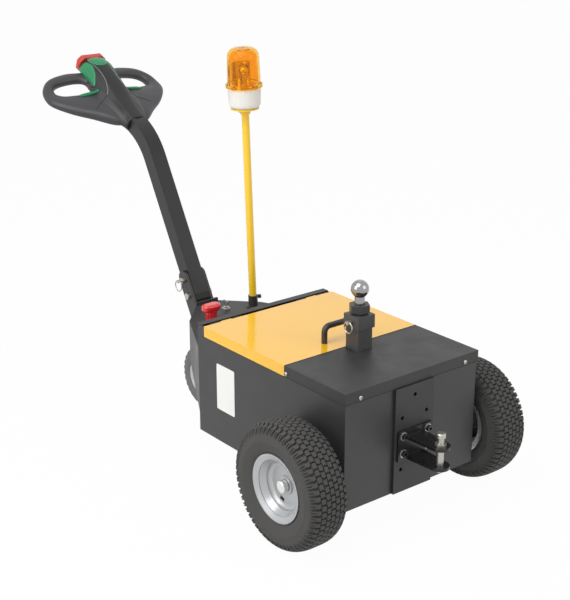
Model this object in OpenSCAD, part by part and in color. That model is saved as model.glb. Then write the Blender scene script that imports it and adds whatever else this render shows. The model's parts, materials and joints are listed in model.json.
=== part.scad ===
// Walk-behind electric tugger: a steel box on two turf-tyred drive wheels and a swivel caster,
// with a butterfly-headed tiller, a drop-pin tow jaw, a tow ball on a receiver and an amber beacon.
// +Y points to the tiller, -Y to the hitch, +Z up. Inside the modules y is measured from the hitch face.

/* [Body] */
// Width over the lid flanges
body_w = 457; // [420:1:500]
// Length of the box from hitch face to tiller end
body_l = 616; // [560:1:680]
// Height of the lid top above the floor
body_top = 416; // [400:1:430]
// Ground clearance under the box
body_low = 96; // [86:1:110]
// Sheet thickness of the box and nose
sheet = 3; // [2:0.5:4]
// Thickness of the lids
lid_t = 2; // [1.5:0.5:3]
// Height of the turned-down lid flanges
flange_h = 30; // [24:1:36]
// Length of the screwed-down black lid
deck_l = 235; // [225:1:250]
// Distance from the tiller end to the lid's hinge axis
hinge_back = 29; // [28:1:34]
// Clearance between lids and box
lid_gap = 1; // [0.5:0.5:2]

/* [Nose] */
// Height of the nose's top above the floor
nose_top_z = 345; // [335:1:360]
// Distance of the nose's shoulders behind the box
nose_shoulder = 181; // [165:1:195]
// Half width of the nose at its shoulders
nose_shoulder_hw = 130; // [118:1:145]
// Distance of the nose's tip behind the box
nose_reach = 274; // [268:1:280]
// Half width of the nose's tip
nose_tip_hw = 40; // [37:1:46]
// Height of the nose's flat underside
nose_low_z = 228; // [226:1:236]
// Height of the nose's underside where it meets the box
nose_root_z = 150; // [130:1:180]

/* [Drive wheels] */
// Radius of the drive tyre
tire_r = 166.7; // [155:0.1:175]
// Width of the drive tyre
tire_w = 113; // [100:1:120]
// Clearance between the box's flank and the tyre
tire_gap = 30.5; // [26:0.5:40]
// Distance of the drive axle from the hitch face
axle_y = 102; // [90:1:120]
// Radius of the rim's flange
rim_r = 89.5; // [84:0.5:94]
// Width of the rim over its flanges
rim_w = 96; // [88:1:100]
// Depth of the rim's bowl behind its lip
bowl_depth = 36; // [30:1:40]
// Diameter of the spindle on which the hub turns
spindle_d = 25; // [20:1:28]
// Radial clearance of turning parts on their shafts
run_gap = 0.05; // [0.02:0.01:0.09]

/* [Caster] */
// Radius of the caster tyre
caster_r = 100; // [94:1:101]
// Width of the caster tyre
caster_w = 50; // [44:1:54]
// Distance from the swivel axis to the caster axle
caster_lead = 47; // [40:1:54]
// Distance of the swivel axis behind the box
swivel_back = 244; // [238:1:248]
// Diameter of the swivel flange
swivel_flange_d = 80; // [70:1:84]
// Diameter of the kingpin
kingpin_d = 20; // [16:1:24]
// Diameter of the caster axle
caster_axle_d = 12; // [10:1:16]

/* [Hitch] */
// Width of the hitch plate
hitch_w = 132; // [126:1:150]
// Thickness of the hitch plate
hitch_t = 8; // [6:1:12]
// Distance between the two columns of holes
hole_gap = 84; // [78:0.5:88]
// Distance between rows of holes
hole_pitch = 47.5; // [45:0.5:50]
// Height of the lowest row of holes
hole_low_z = 160; // [152:1:166]
// Diameter of the holes
hole_d = 11; // [10.5:0.5:13]
// Reach of the tow jaws from the hitch plate's face
jaw_reach = 120; // [105:1:130]
// Width of the tow jaws at the hitch plate
jaw_w = 61; // [56:1:62]
// Diameter of the round ends of the tow jaws
jaw_tip_d = 51; // [44:1:58]
// Clear height between the tow jaws
jaw_gap = 46; // [40:1:50]
// Thickness of the tow jaws
jaw_t = 8; // [6:1:10]
// Diameter of the tow pin
tow_pin_d = 19; // [16:1:22]

/* [Ball post] */
// Distance of the ball post's centre from the black lid's end
post_back = 26; // [26:1:32]
// Side of the receiver tube
post_side = 48; // [44:1:50]
// Height of the receiver tube above the lid
post_h = 94; // [85:1:105]
// Side of the receiver's collar
collar_side = 57; // [53:1:62]
// Height of the receiver's collar
collar_h = 36; // [28:1:42]
// Side of the square shank
shank_side = 32; // [28:0.5:34]
// Diameter of the tow ball
ball_d = 47.6; // [45:0.1:51]
// Height of the ball's centre above the lid
ball_h = 161; // [155:1:170]

/* [Tiller] */
// Angle of the arm above the horizontal
arm_angle = 61; // [57:0.5:64]
// Distance of the tiller pivot behind the box
pivot_back = 322; // [319:1:328]
// Height of the tiller pivot
pivot_z = 361; // [359:1:370]
// Width of the arm
arm_w = 50; // [44:1:52]
// Depth of the arm
arm_d = 46; // [40:1:48]
// Straight length of the arm above the pivot
arm_l = 436; // [400:1:480]
// Length of the arm below the pivot
arm_foot = 20; // [16:1:22]
// Radius of the bend at the top of the arm, on its centre line
bend_r = 200; // [150:1:230]
// Angle of the head above the horizontal
head_angle = 23; // [18:0.5:28]
// Thickness of the ears beside the arm
ear_t = 8; // [6:1:10]
// Clearance between arm and ears
ear_gap = 1.5; // [1:0.1:2]
// Diameter of the pivot bolt
pivot_d = 12; // [10:1:14]
// Distance from the pivot to the lock pin
lock_up = 50; // [46:1:56]

/* [Head] */
// Length of the head from the arm to the end of its hub
head_l = 290; // [280:1:300]
// Half width of the head over its loops
loop_hw = 206; // [190:1:215]
// Height of the hand loops' grips
loop_t = 30; // [26:1:34]
// Reach of each thumb lever from the throttle barrel
lever_l = 52; // [44:1:56]

/* [Beacon] */
// Sideways place of the mast
mast_x = 87; // [80:1:95]
// Distance of the mast behind the box
mast_back = 160; // [150:1:170]
// Diameter of the mast
mast_d = 22; // [19:1:25]
// Length of the mast above the nose
mast_l = 600; // [550:1:640]
// Lean of the mast to the left, in degrees
mast_lean = 2.2; // [0:0.1:3]
// Diameter of the beacon's base
beacon_d = 94; // [86:1:100]
// Height of the beacon's base
beacon_base_h = 58; // [50:1:64]
// Height of the lens
lens_h = 112; // [100:1:120]

/* [Controls] */
// Sideways place of the emergency stop
stop_x = -75; // [-85:1:-65]
// Distance of the emergency stop behind the box
stop_back = 148; // [140:1:156]
// Length of the emergency stop's oblong head
stop_w = 60; // [52:1:66]
// Sideways place of the key switch
key_x = 11; // [5:1:20]
// Distance of the key switch behind the box
key_back = 194; // [186:1:200]

/* [Hidden] */
$fn = 64;
// Box under its lids
tub_hw = body_w / 2 - lid_t - lid_gap;
tub_front = lid_t + lid_gap;
rest_gap = 0.3;
tub_top = body_top - lid_t - rest_gap;
hinge_y = body_l - hinge_back;
knuckle_r = 4;
hinge_pin_d = 5;
hinge_z = body_top - knuckle_r;
hinge_clear = 6;
hinge_in = 76.5;
knuckle_pitch = 38;
knuckle_hl = 18;
leaf_t = 2;
leaf_in = 18.5;
rim_y = hinge_y + knuckle_r + hinge_clear;
rim_flange_h = 18;
// Lid handle
handle_back = 51;
handle_r = 8;
handle_hw = 52;
handle_bend = 16;
handle_h = 46;
// Wheels
axle_z = tire_r;
tire_out = body_w / 2 + tire_gap + tire_w;
tire_mid = tire_out - tire_w / 2;
rim_hook = 12;
rim_seat_r = rim_r - rim_hook;
rim_t = 4;
lip_t = 5;
well_depth = 14;
well_hw = 12;
well_slope = 8;
disc_t = 5;
bowl_r = 12;
bowl_rim = 21.5;
face_z = rim_w / 2 - bowl_depth;
hub_r = 34;
boss_r = 24;
boss_h = 4;
hub_in = rim_w / 2 - 2;
hub_out = face_z + boss_h;
slot_at = 48;
slot_size = [11, 16];
slot_turn = -20;
seat_gap = 0.2;
axle_tube_r = 26;
axle_flange_r = 50;
axle_flange_t = 8;
nut_h = 12;
nut_r = 16;
// Drive and batteries inside the box
gear_hw = 80;
gear_hl = 70;
gear_down = 60;
gear_up = 75;
foot_hw = 40;
motor_d = 110;
motor_l = 80;
motor_up = 15;
motor_end = axle_y + gear_hl + motor_l;
battery_gap = 10;
battery_back = 44;
battery_x = 90;
battery_hw = 84;
battery_h = 205;
post_in = 38;
terminal_d = 18;
terminal_h = 16;
// Nose and caster
tip_y = body_l + nose_reach;
shoulder_y = body_l + nose_shoulder;
swivel_y = body_l + swivel_back;
caster_y = swivel_y + caster_lead;
ramp_end_y = swivel_y - swivel_flange_d / 2 - 4;
fork_gap = 4;
fork_t = 5;
crown_low = 2 * caster_r + 5;
crown_t = 6;
crown_clear = 0.5;
race_low = crown_low + crown_t + crown_clear;
plate_t = 5;
leg_hl = 30;
eye_r = 16;
caster_rubber = 42;
caster_hub_r = 20;
caster_web_t = 16;
// Hitch
plate_y = tub_front - hitch_t;
jaw_drop = 11;
jaw_mid_z = hole_low_z + 1.5 * hole_pitch - jaw_drop;
hole_top_z = hole_low_z + 3 * hole_pitch + 54;
jaw_base_w = 116;
jaw_base_t = 6;
jaw_edge = 3;
bolt_d = 10;
bolt_head_d = 18;
bolt_head_h = 9;
washer_d = 22;
washer_t = 2.5;
socket_d = 9;
tow_pin_y = plate_y - jaw_reach + jaw_tip_d / 2;
tow_pin_up = 34;
tow_pin_down = 12;
collar_t = 6;
knob_h = 12;
// Ball post
post_y = deck_l - post_back;
shank_foot = 8;
flange_d = 56;
flange_t = 20;
flange_up = 6;
neck_d = 27;
ball_flat = 1.5;
cross_d = 12;
cross_out = 14;
bow_r = 15;
bow_t = 2;
// Tiller
pivot_y = body_l + pivot_back;
ear_in = arm_w / 2 + ear_gap;
ear_hw = 22;
ear_up = lock_up + 6;
ear_base_t = 8;
ear_base_up = 8;
lock_d = 10;
ring_r = 16;
arm_dir = [cos(arm_angle), sin(arm_angle)];
bend_mid = [pivot_y, pivot_z] + arm_l * arm_dir + bend_r * [sin(arm_angle), -cos(arm_angle)];
head_at = bend_mid + bend_r * [-sin(head_angle), cos(head_angle)];
cap_l = 22;
cap_hw = 48;
cap_top_hw = 34;
cap_low = -8;
cap_side = 30;
cap_high = 55;
// Beacon
top_d = 80;
top_t = 4;
top_neck = 14;
lamp_d = 60;
lamp_foot = 8;
bulb_d = 26;
bulb_up = 46;
mirror_h = 60;
lead_d = 3.2;
lead_bow = 9;
lead_up = 24;
lead_in = 0.6;
// Emergency stop
stop_d = 34;
stop_h = 20;
stem_d = 34;
stem_h = 30;
stop_edge = 8;
// Reach of the whole part, for an origin at the middle of its length
reach_low = plate_y - jaw_reach;
reach_high = head_at[0] + (head_l + cap_l) * cos(head_angle) - cap_low * sin(head_angle);
y_mid = (reach_low + reach_high) / 2;

// Moves a module from hitch-face coordinates to the part's own frame
module place() { translate([0, -y_mid, 0]) children(); }

// Box between two corners
module span(low, high) { translate(low) cube(high - low); }

// Cylinder along X between two x values
module along_x(x0, x1, r) { translate([x0, 0, 0]) rotate([0, 90, 0]) cylinder(r = r, h = x1 - x0); }

// Profile in (y, z), extruded along X and centred
module slab_x(w) { rotate([90, 0, 90]) translate([0, 0, -w / 2]) linear_extrude(w) children(); }

// Points of an arc
function arc(c, r, a0, a1, n) = [for (i = [0:n]) let (a = a0 + (a1 - a0) * i / n) c + r * [cos(a), sin(a)]];

// Mitred inset of a closed outline whose points run counter-clockwise
function unit(v) = v / norm(v);
function left_of(v) = [-v[1], v[0]];
function inset(p, d) = [for (i = [0:len(p) - 1]) let (
    n = len(p),
    a = left_of(unit(p[i] - p[(i + n - 1) % n])),
    b = left_of(unit(p[(i + 1) % n] - p[i])))
    p[i] + d * (a + b) / (1 + a * b)];

// Surface through rings of points, closed at both ends
module loft(rings) {
    n = len(rings[0]);
    m = len(rings);
    polyhedron(points = [for (r = rings) each r],
        faces = concat([[for (i = [n - 1:-1:0]) i]], [[for (i = [0:n - 1]) (m - 1) * n + i]],
            [for (k = [0:m - 2]) each [for (i = [0:n - 1]) let (j = (i + 1) % n) each
                [[k * n + i, k * n + j, (k + 1) * n + i], [k * n + j, (k + 1) * n + j, (k + 1) * n + i]]]]));
}

// Rounded square of half sizes a and b, as a direction on a ring
function sgn_pow(v, p) = sign(v) * pow(abs(v), p);
function squircle(a, b, t, p) = [a * sgn_pow(cos(t), p), b * sgn_pow(sin(t), p)];

// Smooth value between rows of a table, with s counted in rows
function smooth(t, s) = let (
    n = len(t) - 1,
    i = min(floor(s), n - 1),
    f = s - i,
    a = t[max(i - 1, 0)],
    b = t[i],
    c = t[i + 1],
    d = t[min(i + 2, n)])
    0.5 * (2 * b + (c - a) * f + (2 * a - 5 * b + 4 * c - d) * f * f + (3 * b - a - 3 * c + d) * f * f * f);

// Box of folded sheet, open at the top
module tub() {
    color("#4a4a4a") place() difference() {
        span([-tub_hw, tub_front, body_low], [tub_hw, body_l, tub_top]);
        span([-tub_hw + sheet, tub_front + sheet, body_low + sheet],
            [tub_hw - sheet, body_l - sheet, tub_top + 1]);
        translate([0, axle_y, axle_z]) along_x(-tub_hw - 1, tub_hw + 1, axle_tube_r + seat_gap);
        hitch_holes(tub_front - 1, tub_front + sheet + 1);
    }
}

// One hole through the hitch, along Y
module hitch_hole(x, z, y0, y1) {
    translate([x, y1, z]) rotate([90, 0, 0]) cylinder(d = hole_d, h = y1 - y0);
}

// Holes of the hitch plate, in two columns, with one more near the top
module hitch_holes(y0, y1) {
    for (x = [-hole_gap / 2, hole_gap / 2], k = [0:3]) hitch_hole(x, hole_low_z + k * hole_pitch, y0, y1);
    hitch_hole(0, hole_top_z, y0, y1);
}

// Black lid over the drive, flanged on three sides
module deck_lid() {
    color("#3c3c3c") place() difference() {
        span([-body_w / 2, 0, body_top - flange_h], [body_w / 2, deck_l - lid_gap, body_top]);
        span([-body_w / 2 + lid_t, lid_t, body_top - flange_h - 1],
            [body_w / 2 - lid_t, deck_l, body_top - lid_t]);
    }
}

// Strip along the tiller end of the box, turned down behind it
module rear_rim() {
    rear = body_l + lid_gap;
    color("#3c3c3c") place() {
        span([-tub_hw, rim_y, body_top - lid_t], [tub_hw, rear + lid_t, body_top]);
        span([-tub_hw, rear, body_top - rim_flange_h], [tub_hw, rear + lid_t, body_top]);
    }
}

// Knuckles: a row of steps from the hinge's middle and owner, 0 for the box and 1 for the lid
knuckles = [[-1, 0], [0, 1], [1, 0]];
function knuckle_x(s, k) = s * (body_w / 2 - hinge_in) + k[0] * knuckle_pitch;
module knuckle_row(owner) {
    for (s = [-1, 1], k = knuckles) if (k[1] == owner) translate([knuckle_x(s, k), hinge_y, hinge_z])
        along_x(-knuckle_hl, knuckle_hl, knuckle_r);
}

// Fixed half of the lid hinge, with its pins and the leaf on the box
module lid_hinge() {
    pin_hl = knuckle_pitch + knuckle_hl;
    leaf_z = hinge_z - knuckle_r;
    leaf_hw = body_w / 2 - leaf_in;
    color("#2e2e2e") place() {
        knuckle_row(0);
        for (s = [-1, 1]) translate([s * (body_w / 2 - hinge_in), hinge_y, hinge_z])
            along_x(-pin_hl, pin_hl, hinge_pin_d / 2);
        for (s = [-1, 1], k = knuckles) if (k[1] == 0)
            span([knuckle_x(s, k) - knuckle_hl, hinge_y, leaf_z],
                [knuckle_x(s, k) + knuckle_hl, rim_y + 2, leaf_z + leaf_t]);
        span([-leaf_hw, rim_y, leaf_z], [leaf_hw, body_l - sheet, leaf_z + leaf_t]);
    }
}

// Outline of the nose in plan, counter-clockwise
nose_plan = [[tub_hw, body_l], [nose_shoulder_hw, shoulder_y], [nose_tip_hw, tip_y],
    [-nose_tip_hw, tip_y], [-nose_shoulder_hw, shoulder_y], [-tub_hw, body_l]];

// Side profile of the nose, with its rising underside
module nose_side(top) {
    polygon([[body_l, nose_root_z], [ramp_end_y, nose_low_z], [tip_y + 1, nose_low_z], [tip_y + 1, top],
        [body_l, top]]);
}

// Walls of the nose
module nose_shell() {
    color("#4a4a4a") place() intersection() {
        slab_x(2 * tub_hw) nose_side(nose_top_z - sheet);
        linear_extrude(nose_top_z) difference() {
            polygon(nose_plan);
            intersection() {
                polygon(inset(nose_plan, sheet));
                translate([-tub_hw, body_l]) square([2 * tub_hw, nose_reach]);
            }
            translate([-tub_hw + 2 * sheet, body_l - 1]) square([2 * (tub_hw - 2 * sheet), 2 * sheet]);
        }
    }
}

// Plate that closes the nose and carries the controls
module nose_top() {
    color("#3c3c3c") place() translate([0, 0, nose_top_z - sheet]) linear_extrude(sheet) polygon(nose_plan);
}

// Underside of the nose: a ramp, then the flat over the caster
module nose_floor() {
    color("#3c3c3c") place() intersection() {
        slab_x(2 * tub_hw) polygon([[body_l, nose_root_z], [ramp_end_y, nose_low_z], [tip_y, nose_low_z],
            [tip_y, nose_low_z + sheet], [ramp_end_y, nose_low_z + sheet], [body_l, nose_root_z + sheet]]);
        linear_extrude(nose_top_z) polygon(inset(nose_plan, sheet + seat_gap));
    }
}

// Axle tube through the box, with spindles, end nuts and flanges on the flanks
module drive_axle() {
    tube_end = tire_mid - hub_in - 2;
    shaft_end = tire_mid + hub_out + 1;
    color("#5a5a5a") place() translate([0, axle_y, axle_z]) {
        along_x(-tube_end, tube_end, axle_tube_r);
        along_x(-shaft_end, shaft_end, spindle_d / 2);
        for (s = [-1, 1]) {
            translate([s * (shaft_end + nut_h / 2), 0, 0]) along_x(-nut_h / 2, nut_h / 2, nut_r);
            translate([s * (tub_hw + axle_flange_t / 2), 0, 0])
                along_x(-axle_flange_t / 2, axle_flange_t / 2, axle_flange_r);
        }
    }
}

// Gearbox on its foot, and the motor behind it
module transaxle() {
    color("#6b6b6b") place() {
        difference() {
            span([-gear_hw, axle_y - gear_hl, axle_z - gear_down],
                [gear_hw, axle_y + gear_hl, axle_z + gear_up]);
            translate([0, axle_y, axle_z]) along_x(-gear_hw - 1, gear_hw + 1, axle_tube_r + seat_gap);
        }
        translate([0, motor_end, axle_z + motor_up]) rotate([90, 0, 0]) cylinder(d = motor_d, h = motor_l);
        span([-foot_hw, axle_y - foot_hw, body_low + sheet],
            [foot_hw, axle_y + foot_hw, axle_z - gear_down]);
    }
}

// Pair of batteries on the floor of the box, with their terminals
module batteries() {
    low = body_low + sheet;
    front = motor_end + battery_gap;
    rear = body_l - battery_back;
    color("#2a2a2a") place() for (s = [-1, 1]) {
        span([s * battery_x - battery_hw, front, low], [s * battery_x + battery_hw, rear, low + battery_h]);
        for (y = [front + post_in, rear - post_in]) translate([s * battery_x, y, low + battery_h])
            cylinder(d = terminal_d, h = terminal_h);
    }
}

// Full-height plate on the hitch face
module hitch_plate() {
    color("#3c3c3c") place() difference() {
        span([-hitch_w / 2, plate_y, body_low], [hitch_w / 2, tub_front, body_top - flange_h - lid_gap]);
        hitch_holes(plate_y - 1, tub_front + 1);
    }
}

// Tow jaw: back plate with two tapered tongues
module tow_jaw() {
    base_low = jaw_mid_z - jaw_gap / 2 - jaw_t - jaw_edge;
    base_high = hole_low_z + 2 * hole_pitch + washer_d / 2 + jaw_edge;
    color("#2f2f2f") place() difference() {
        union() {
            span([-jaw_base_w / 2, plate_y - jaw_base_t, base_low], [jaw_base_w / 2, plate_y, base_high]);
            for (s = [-1, 1]) translate([0, 0, jaw_mid_z + s * (jaw_gap + jaw_t) / 2 - jaw_t / 2])
                linear_extrude(jaw_t) {
                    polygon([[-jaw_w / 2, plate_y - 1], [-jaw_tip_d / 2, tow_pin_y],
                        [jaw_tip_d / 2, tow_pin_y], [jaw_w / 2, plate_y - 1]]);
                    translate([0, tow_pin_y]) circle(d = jaw_tip_d);
                }
        }
        translate([0, tow_pin_y, jaw_mid_z - jaw_gap]) cylinder(d = tow_pin_d + 1, h = 2 * jaw_gap);
        hitch_holes(plate_y - jaw_base_t - 1, plate_y + 1);
    }
}

// Drop pin with a pointed foot, a collar and a knob
module tow_pin() {
    top = jaw_gap / 2 + jaw_t;
    r = tow_pin_d / 2;
    color("#c9c9c9") place() translate([0, tow_pin_y, jaw_mid_z]) rotate_extrude() polygon([
        [0, -top - tow_pin_down], [r - 4, -top - tow_pin_down], [r, -top - tow_pin_down + 4], [r, top],
        [r + 5, top], [r + 5, top + collar_t], [r - 1, top + collar_t], [r - 1, top + tow_pin_up - knob_h],
        [r + 3, top + tow_pin_up - knob_h], [r + 3, top + tow_pin_up - 2], [r + 1, top + tow_pin_up],
        [0, top + tow_pin_up]]);
}

// Socket-head bolts and washers that hold the tow jaw
module hitch_bolts() {
    grip = jaw_base_t + hitch_t;
    color("#8a8a8a") place() for (x = [-hole_gap / 2, hole_gap / 2], k = [1, 2])
        translate([x, plate_y - jaw_base_t, hole_low_z + k * hole_pitch]) rotate([90, 0, 0]) difference() {
            union() {
                translate([0, 0, -grip]) cylinder(d = bolt_d, h = grip);
                cylinder(d = washer_d, h = washer_t);
                cylinder(d = bolt_head_d, h = washer_t + bolt_head_h);
            }
            translate([0, 0, washer_t + 2]) cylinder(d = socket_d, h = bolt_head_h, $fn = 6);
        }
}

// Square receiver tube with a collar
module receiver_post() {
    hole = shank_side + 2 * seat_gap;
    color("#2f2f2f") place() translate([0, post_y, body_top]) difference() {
        union() {
            translate([-post_side / 2, -post_side / 2, 0])
                cube([post_side, post_side, post_h - collar_h / 2]);
            translate([-collar_side / 2, -collar_side / 2, post_h - collar_h])
                cube([collar_side, collar_side, collar_h]);
        }
        translate([-hole / 2, -hole / 2, shank_foot]) cube([hole, hole, post_h]);
        translate([0, 0, post_h - collar_h / 2]) along_x(-collar_side, collar_side, cross_d / 2 + 0.5);
    }
}

// Square shank with a flange, neck and tow ball
module ball_mount() {
    color("#bdbdbd") place() translate([0, post_y, body_top]) difference() {
        union() {
            translate([-shank_side / 2, -shank_side / 2, shank_foot]) cube([shank_side, shank_side, post_h]);
            translate([0, 0, post_h + flange_up]) cylinder(d = flange_d, h = flange_t, $fn = 6);
            translate([0, 0, post_h + flange_t])
                cylinder(d = neck_d, h = ball_h - post_h - flange_t - ball_d / 5);
            translate([0, 0, ball_h]) sphere(d = ball_d);
        }
        translate([0, 0, ball_h + ball_d / 2 - ball_flat]) cylinder(d = ball_d, h = 2 * ball_flat);
        translate([0, 0, post_h - collar_h / 2]) along_x(-collar_side, collar_side, cross_d / 2 + 0.5);
    }
}

// Cross pin of the receiver, with a bow at each end
module cross_pin() {
    end = collar_side / 2 + cross_out;
    color("#b0b0b0") place() translate([0, post_y, body_top + post_h - collar_h / 2]) {
        along_x(-end, end, cross_d / 2);
        for (s = [-1, 1]) translate([s * (end - 5), 0, 2 - bow_r]) rotate([0, 90, 0]) rotate_extrude()
            translate([bow_r, 0]) circle(r = bow_t, $fn = 24);
    }
}

// Ears and foot that carry the tiller
module tiller_bracket() {
    front = [ear_hw * sin(arm_angle), -ear_hw * cos(arm_angle)];
    at = [pivot_y, pivot_z];
    top = at + ear_up * arm_dir;
    low = at - 65 * arm_dir + front;
    rear_at = at - front - ((at - front)[0] - tip_y) / cos(arm_angle) * arm_dir;
    color("#353535") place() difference() {
        union() {
            for (s = [-1, 1]) translate([s * (ear_in + ear_t / 2), 0, 0]) {
                slab_x(ear_t) polygon([rear_at, [tip_y, nose_low_z + 22],
                    [tip_y + ear_base_t, nose_low_z + 22],
                    low, top + front, top - front]);
                translate([0, top[0], top[1]]) along_x(-ear_t / 2, ear_t / 2, ear_hw);
            }
            span([-nose_tip_hw, tip_y, nose_low_z + 8],
                [nose_tip_hw, tip_y + ear_base_t, nose_top_z + ear_base_up]);
        }
        translate([0, pivot_y, pivot_z]) along_x(-50, 50, pivot_d / 2 + run_gap);
        translate([0, (at + lock_up * arm_dir)[0], (at + lock_up * arm_dir)[1]])
            along_x(-50, 50, lock_d / 2 + run_gap);
    }
}

// Bolt on which the tiller turns
module pivot_bolt() {
    color("#9a9a9a") place() translate([0, pivot_y, pivot_z]) {
        out = ear_in + ear_t;
        along_x(-out, out, pivot_d / 2);
        along_x(-out - 8, -out, 10);
        along_x(out, out + 10, 10);
    }
}

// Spring pin with a pull ring, drawn clear of the arm, and the stud on the other ear
module lock_pin() {
    at = [pivot_y, pivot_z] + lock_up * arm_dir;
    out = ear_in + ear_t;
    color("#a8a8a0") place() translate([0, at[0], at[1]]) {
        along_x(-out - 22, -ear_in - 1, lock_d / 2);
        along_x(-out - 10, -out, 9);
        along_x(ear_in + 1, out + 12, lock_d / 2);
        along_x(out, out + 9, 9);
        translate([-out - 19, 0, 2 - ring_r]) rotate([0, 90, 0]) rotate_extrude()
            translate([ring_r, 0]) circle(r = 1.75, $fn = 24);
    }
}

// Flange and race of the caster swivel
module caster_plate() {
    color("#7d7d7d") place() translate([0, swivel_y, 0]) difference() {
        union() {
            translate([0, 0, nose_low_z - plate_t]) cylinder(d = swivel_flange_d, h = plate_t);
            translate([0, 0, race_low])
                cylinder(d = swivel_flange_d - 14, h = nose_low_z - race_low - plate_t / 2);
        }
        translate([0, 0, race_low - 1]) cylinder(d = kingpin_d + 2 * run_gap, h = nose_low_z);
    }
}

// Frame of the mast, which leans a little to the left
module at_mast() {
    place() translate([mast_x, body_l + mast_back, nose_top_z]) rotate([0, -mast_lean, 0]) children();
}

// Socket and thumb-screw at the foot of the mast
module mast_socket() {
    socket_h = 36;
    color("#2f2f2f") {
        place() translate([mast_x, body_l + mast_back, nose_top_z]) cylinder(d = mast_d + 16, h = 4);
        at_mast() difference() {
            union() {
                translate([0, 0, 2]) cylinder(d = mast_d + 6, h = socket_h);
                translate([0, 0, socket_h - 8]) along_x(mast_d / 2 + 2, mast_d / 2 + 14, 3);
                translate([0, 0, socket_h - 8]) along_x(mast_d / 2 + 10, mast_d / 2 + 16, 6);
            }
            translate([0, 0, 6]) cylinder(d = mast_d + 2 * seat_gap, h = socket_h);
        }
    }
}

// Mast of the beacon
module mast() { color("#f2c230") at_mast() translate([0, 0, 6]) cylinder(d = mast_d, h = mast_l - 6); }

// Plate at the top of the mast
module beacon_plate() {
    color("#f2c230") at_mast() translate([0, 0, mast_l]) {
        cylinder(d = top_d, h = top_t);
        difference() {
            translate([0, 0, -top_neck]) cylinder(d = mast_d + 8, h = top_neck);
            translate([0, 0, -top_neck - 1]) cylinder(d = mast_d + 2 * seat_gap, h = top_neck + 1);
        }
    }
}

// Frame of the lens, on top of the beacon's base
module at_lens() { at_mast() translate([0, 0, mast_l + top_t + beacon_base_h]) children(); }

// White base of the beacon
module beacon_base() {
    r = beacon_d / 2;
    color("#eeeeea") at_mast() translate([0, 0, mast_l + top_t]) rotate_extrude()
        polygon(concat([[0, 0], [r - 14, 0]], arc([r - 14, 12], 12, -90, 0, 5), [[r, beacon_base_h - 8]],
            [[r - 4, beacon_base_h], [0, beacon_base_h]]));
}

// Amber lens, hollow, on a flange
module beacon_lens() {
    r = beacon_d / 2;
    wall = 3;
    color("#ff9a1a", 0.75) at_lens() rotate_extrude() difference() {
        polygon(concat([[0, 0], [r + 5, 0], [r + 5, 10], [r, 14]], arc([r - 26, lens_h - 26], 24, 0, 90, 6),
            [[0, lens_h]]));
        polygon(concat([[0, -1], [r - 8, -1], [r - 6, 14]],
            arc([r - 26 - wall, lens_h - 26 - wall], 20, 0, 90, 6),
            [[0, lens_h - wall - 2]]));
    }
}

// Reflector and bulb inside the lens
module beacon_lamp() {
    color("#d8d8d8") at_lens() {
        cylinder(d = lamp_d + 6, h = lamp_foot + 1);
        cylinder(d = bulb_d - 10, h = bulb_up);
        translate([0, 0, bulb_up]) sphere(d = bulb_d);
        difference() {
            translate([0, 0, lamp_foot]) cylinder(d = lamp_d + 6, h = mirror_h);
            translate([0, 0, lamp_foot - 1]) cylinder(d = lamp_d, h = mirror_h + 2);
            translate([-lamp_d, -lamp_d, lamp_foot - 1]) cube([2 * lamp_d, lamp_d + 10, mirror_h + 2]);
        }
    }
}

// Lead that loops out of the beacon's base and back in
module beacon_lead() {
    color("#7a3a2a") at_mast() translate([beacon_d / 2 - lead_in, 0, mast_l + top_t + lead_up])
        rotate([90, 0, 0]) rotate([0, 0, -90]) rotate_extrude(angle = 180)
            translate([lead_bow, 0]) circle(d = lead_d, $fn = 24);
}

// Rounded edge of the emergency stop's head, in (radius, height)
function stop_section() = concat([[0, 0], [stop_d / 2 - 3, 0], [stop_d / 2, 4]],
    arc([stop_d / 2 - stop_edge, stop_h - stop_edge], stop_edge, 0, 90, 6), [[0, stop_h]]);

// Emergency stop: oblong head with rounded edges on a ribbed stem
module emergency_stop() {
    half = (stop_w - stop_d) / 2;
    color("#d4262b") place() translate([stop_x, body_l + stop_back, nose_top_z]) {
        difference() {
            cylinder(d = stem_d, h = stem_h + 1);
            for (k = [0:11]) rotate([0, 0, 30 * k]) translate([stem_d / 2 + 0.5, 0, 4])
                cylinder(d = 4, h = stem_h + 1);
        }
        translate([0, 0, stem_h]) {
            for (s = [-1, 1]) translate([s * half, 0, 0]) rotate_extrude() polygon(stop_section());
            for (s = [0, 1]) mirror([0, s, 0]) slab_x(2 * half) polygon(stop_section());
        }
    }
}

// Key switch with its key
module key_switch() {
    key_t = 2.5;
    color("#8f8f8f") place() translate([key_x, body_l + key_back, nose_top_z]) {
        cylinder(d = 24, h = 5);
        cylinder(d = 16, h = 9);
        translate([-key_t / 2, -5, 8]) cube([key_t, 10, 10]);
        translate([-key_t / 2, -11, 16]) cube([key_t, 22, 12]);
    }
}

// Outline of a drive tyre in (radius, x), between its bead seats
function tire_section() = concat(
    [[rim_seat_r + seat_gap, -rim_w / 2 + 9]], [[rim_r + 1, -rim_w / 2 + 6]],
    arc([rim_r + 30, -tire_w / 2 + 30], 30, -120, -90, 3), [[tire_r - 26, -tire_w / 2]],
    arc([tire_r - 22, -tire_w / 2 + 18], 18, -75, -15, 4), [[tire_r, -tire_w / 4]],
    [[tire_r, tire_w / 4]], arc([tire_r - 22, tire_w / 2 - 18], 18, 15, 75, 4), [[tire_r - 26, tire_w / 2]],
    arc([rim_r + 30, tire_w / 2 - 30], 30, 90, 120, 3), [[rim_r + 1, rim_w / 2 - 6]],
    [[rim_seat_r + seat_gap, rim_w / 2 - 9]]);

module at_wheel(s) { place() translate([s * tire_mid, axle_y, axle_z]) rotate([0, s * 90, 0]) children(); }

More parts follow.
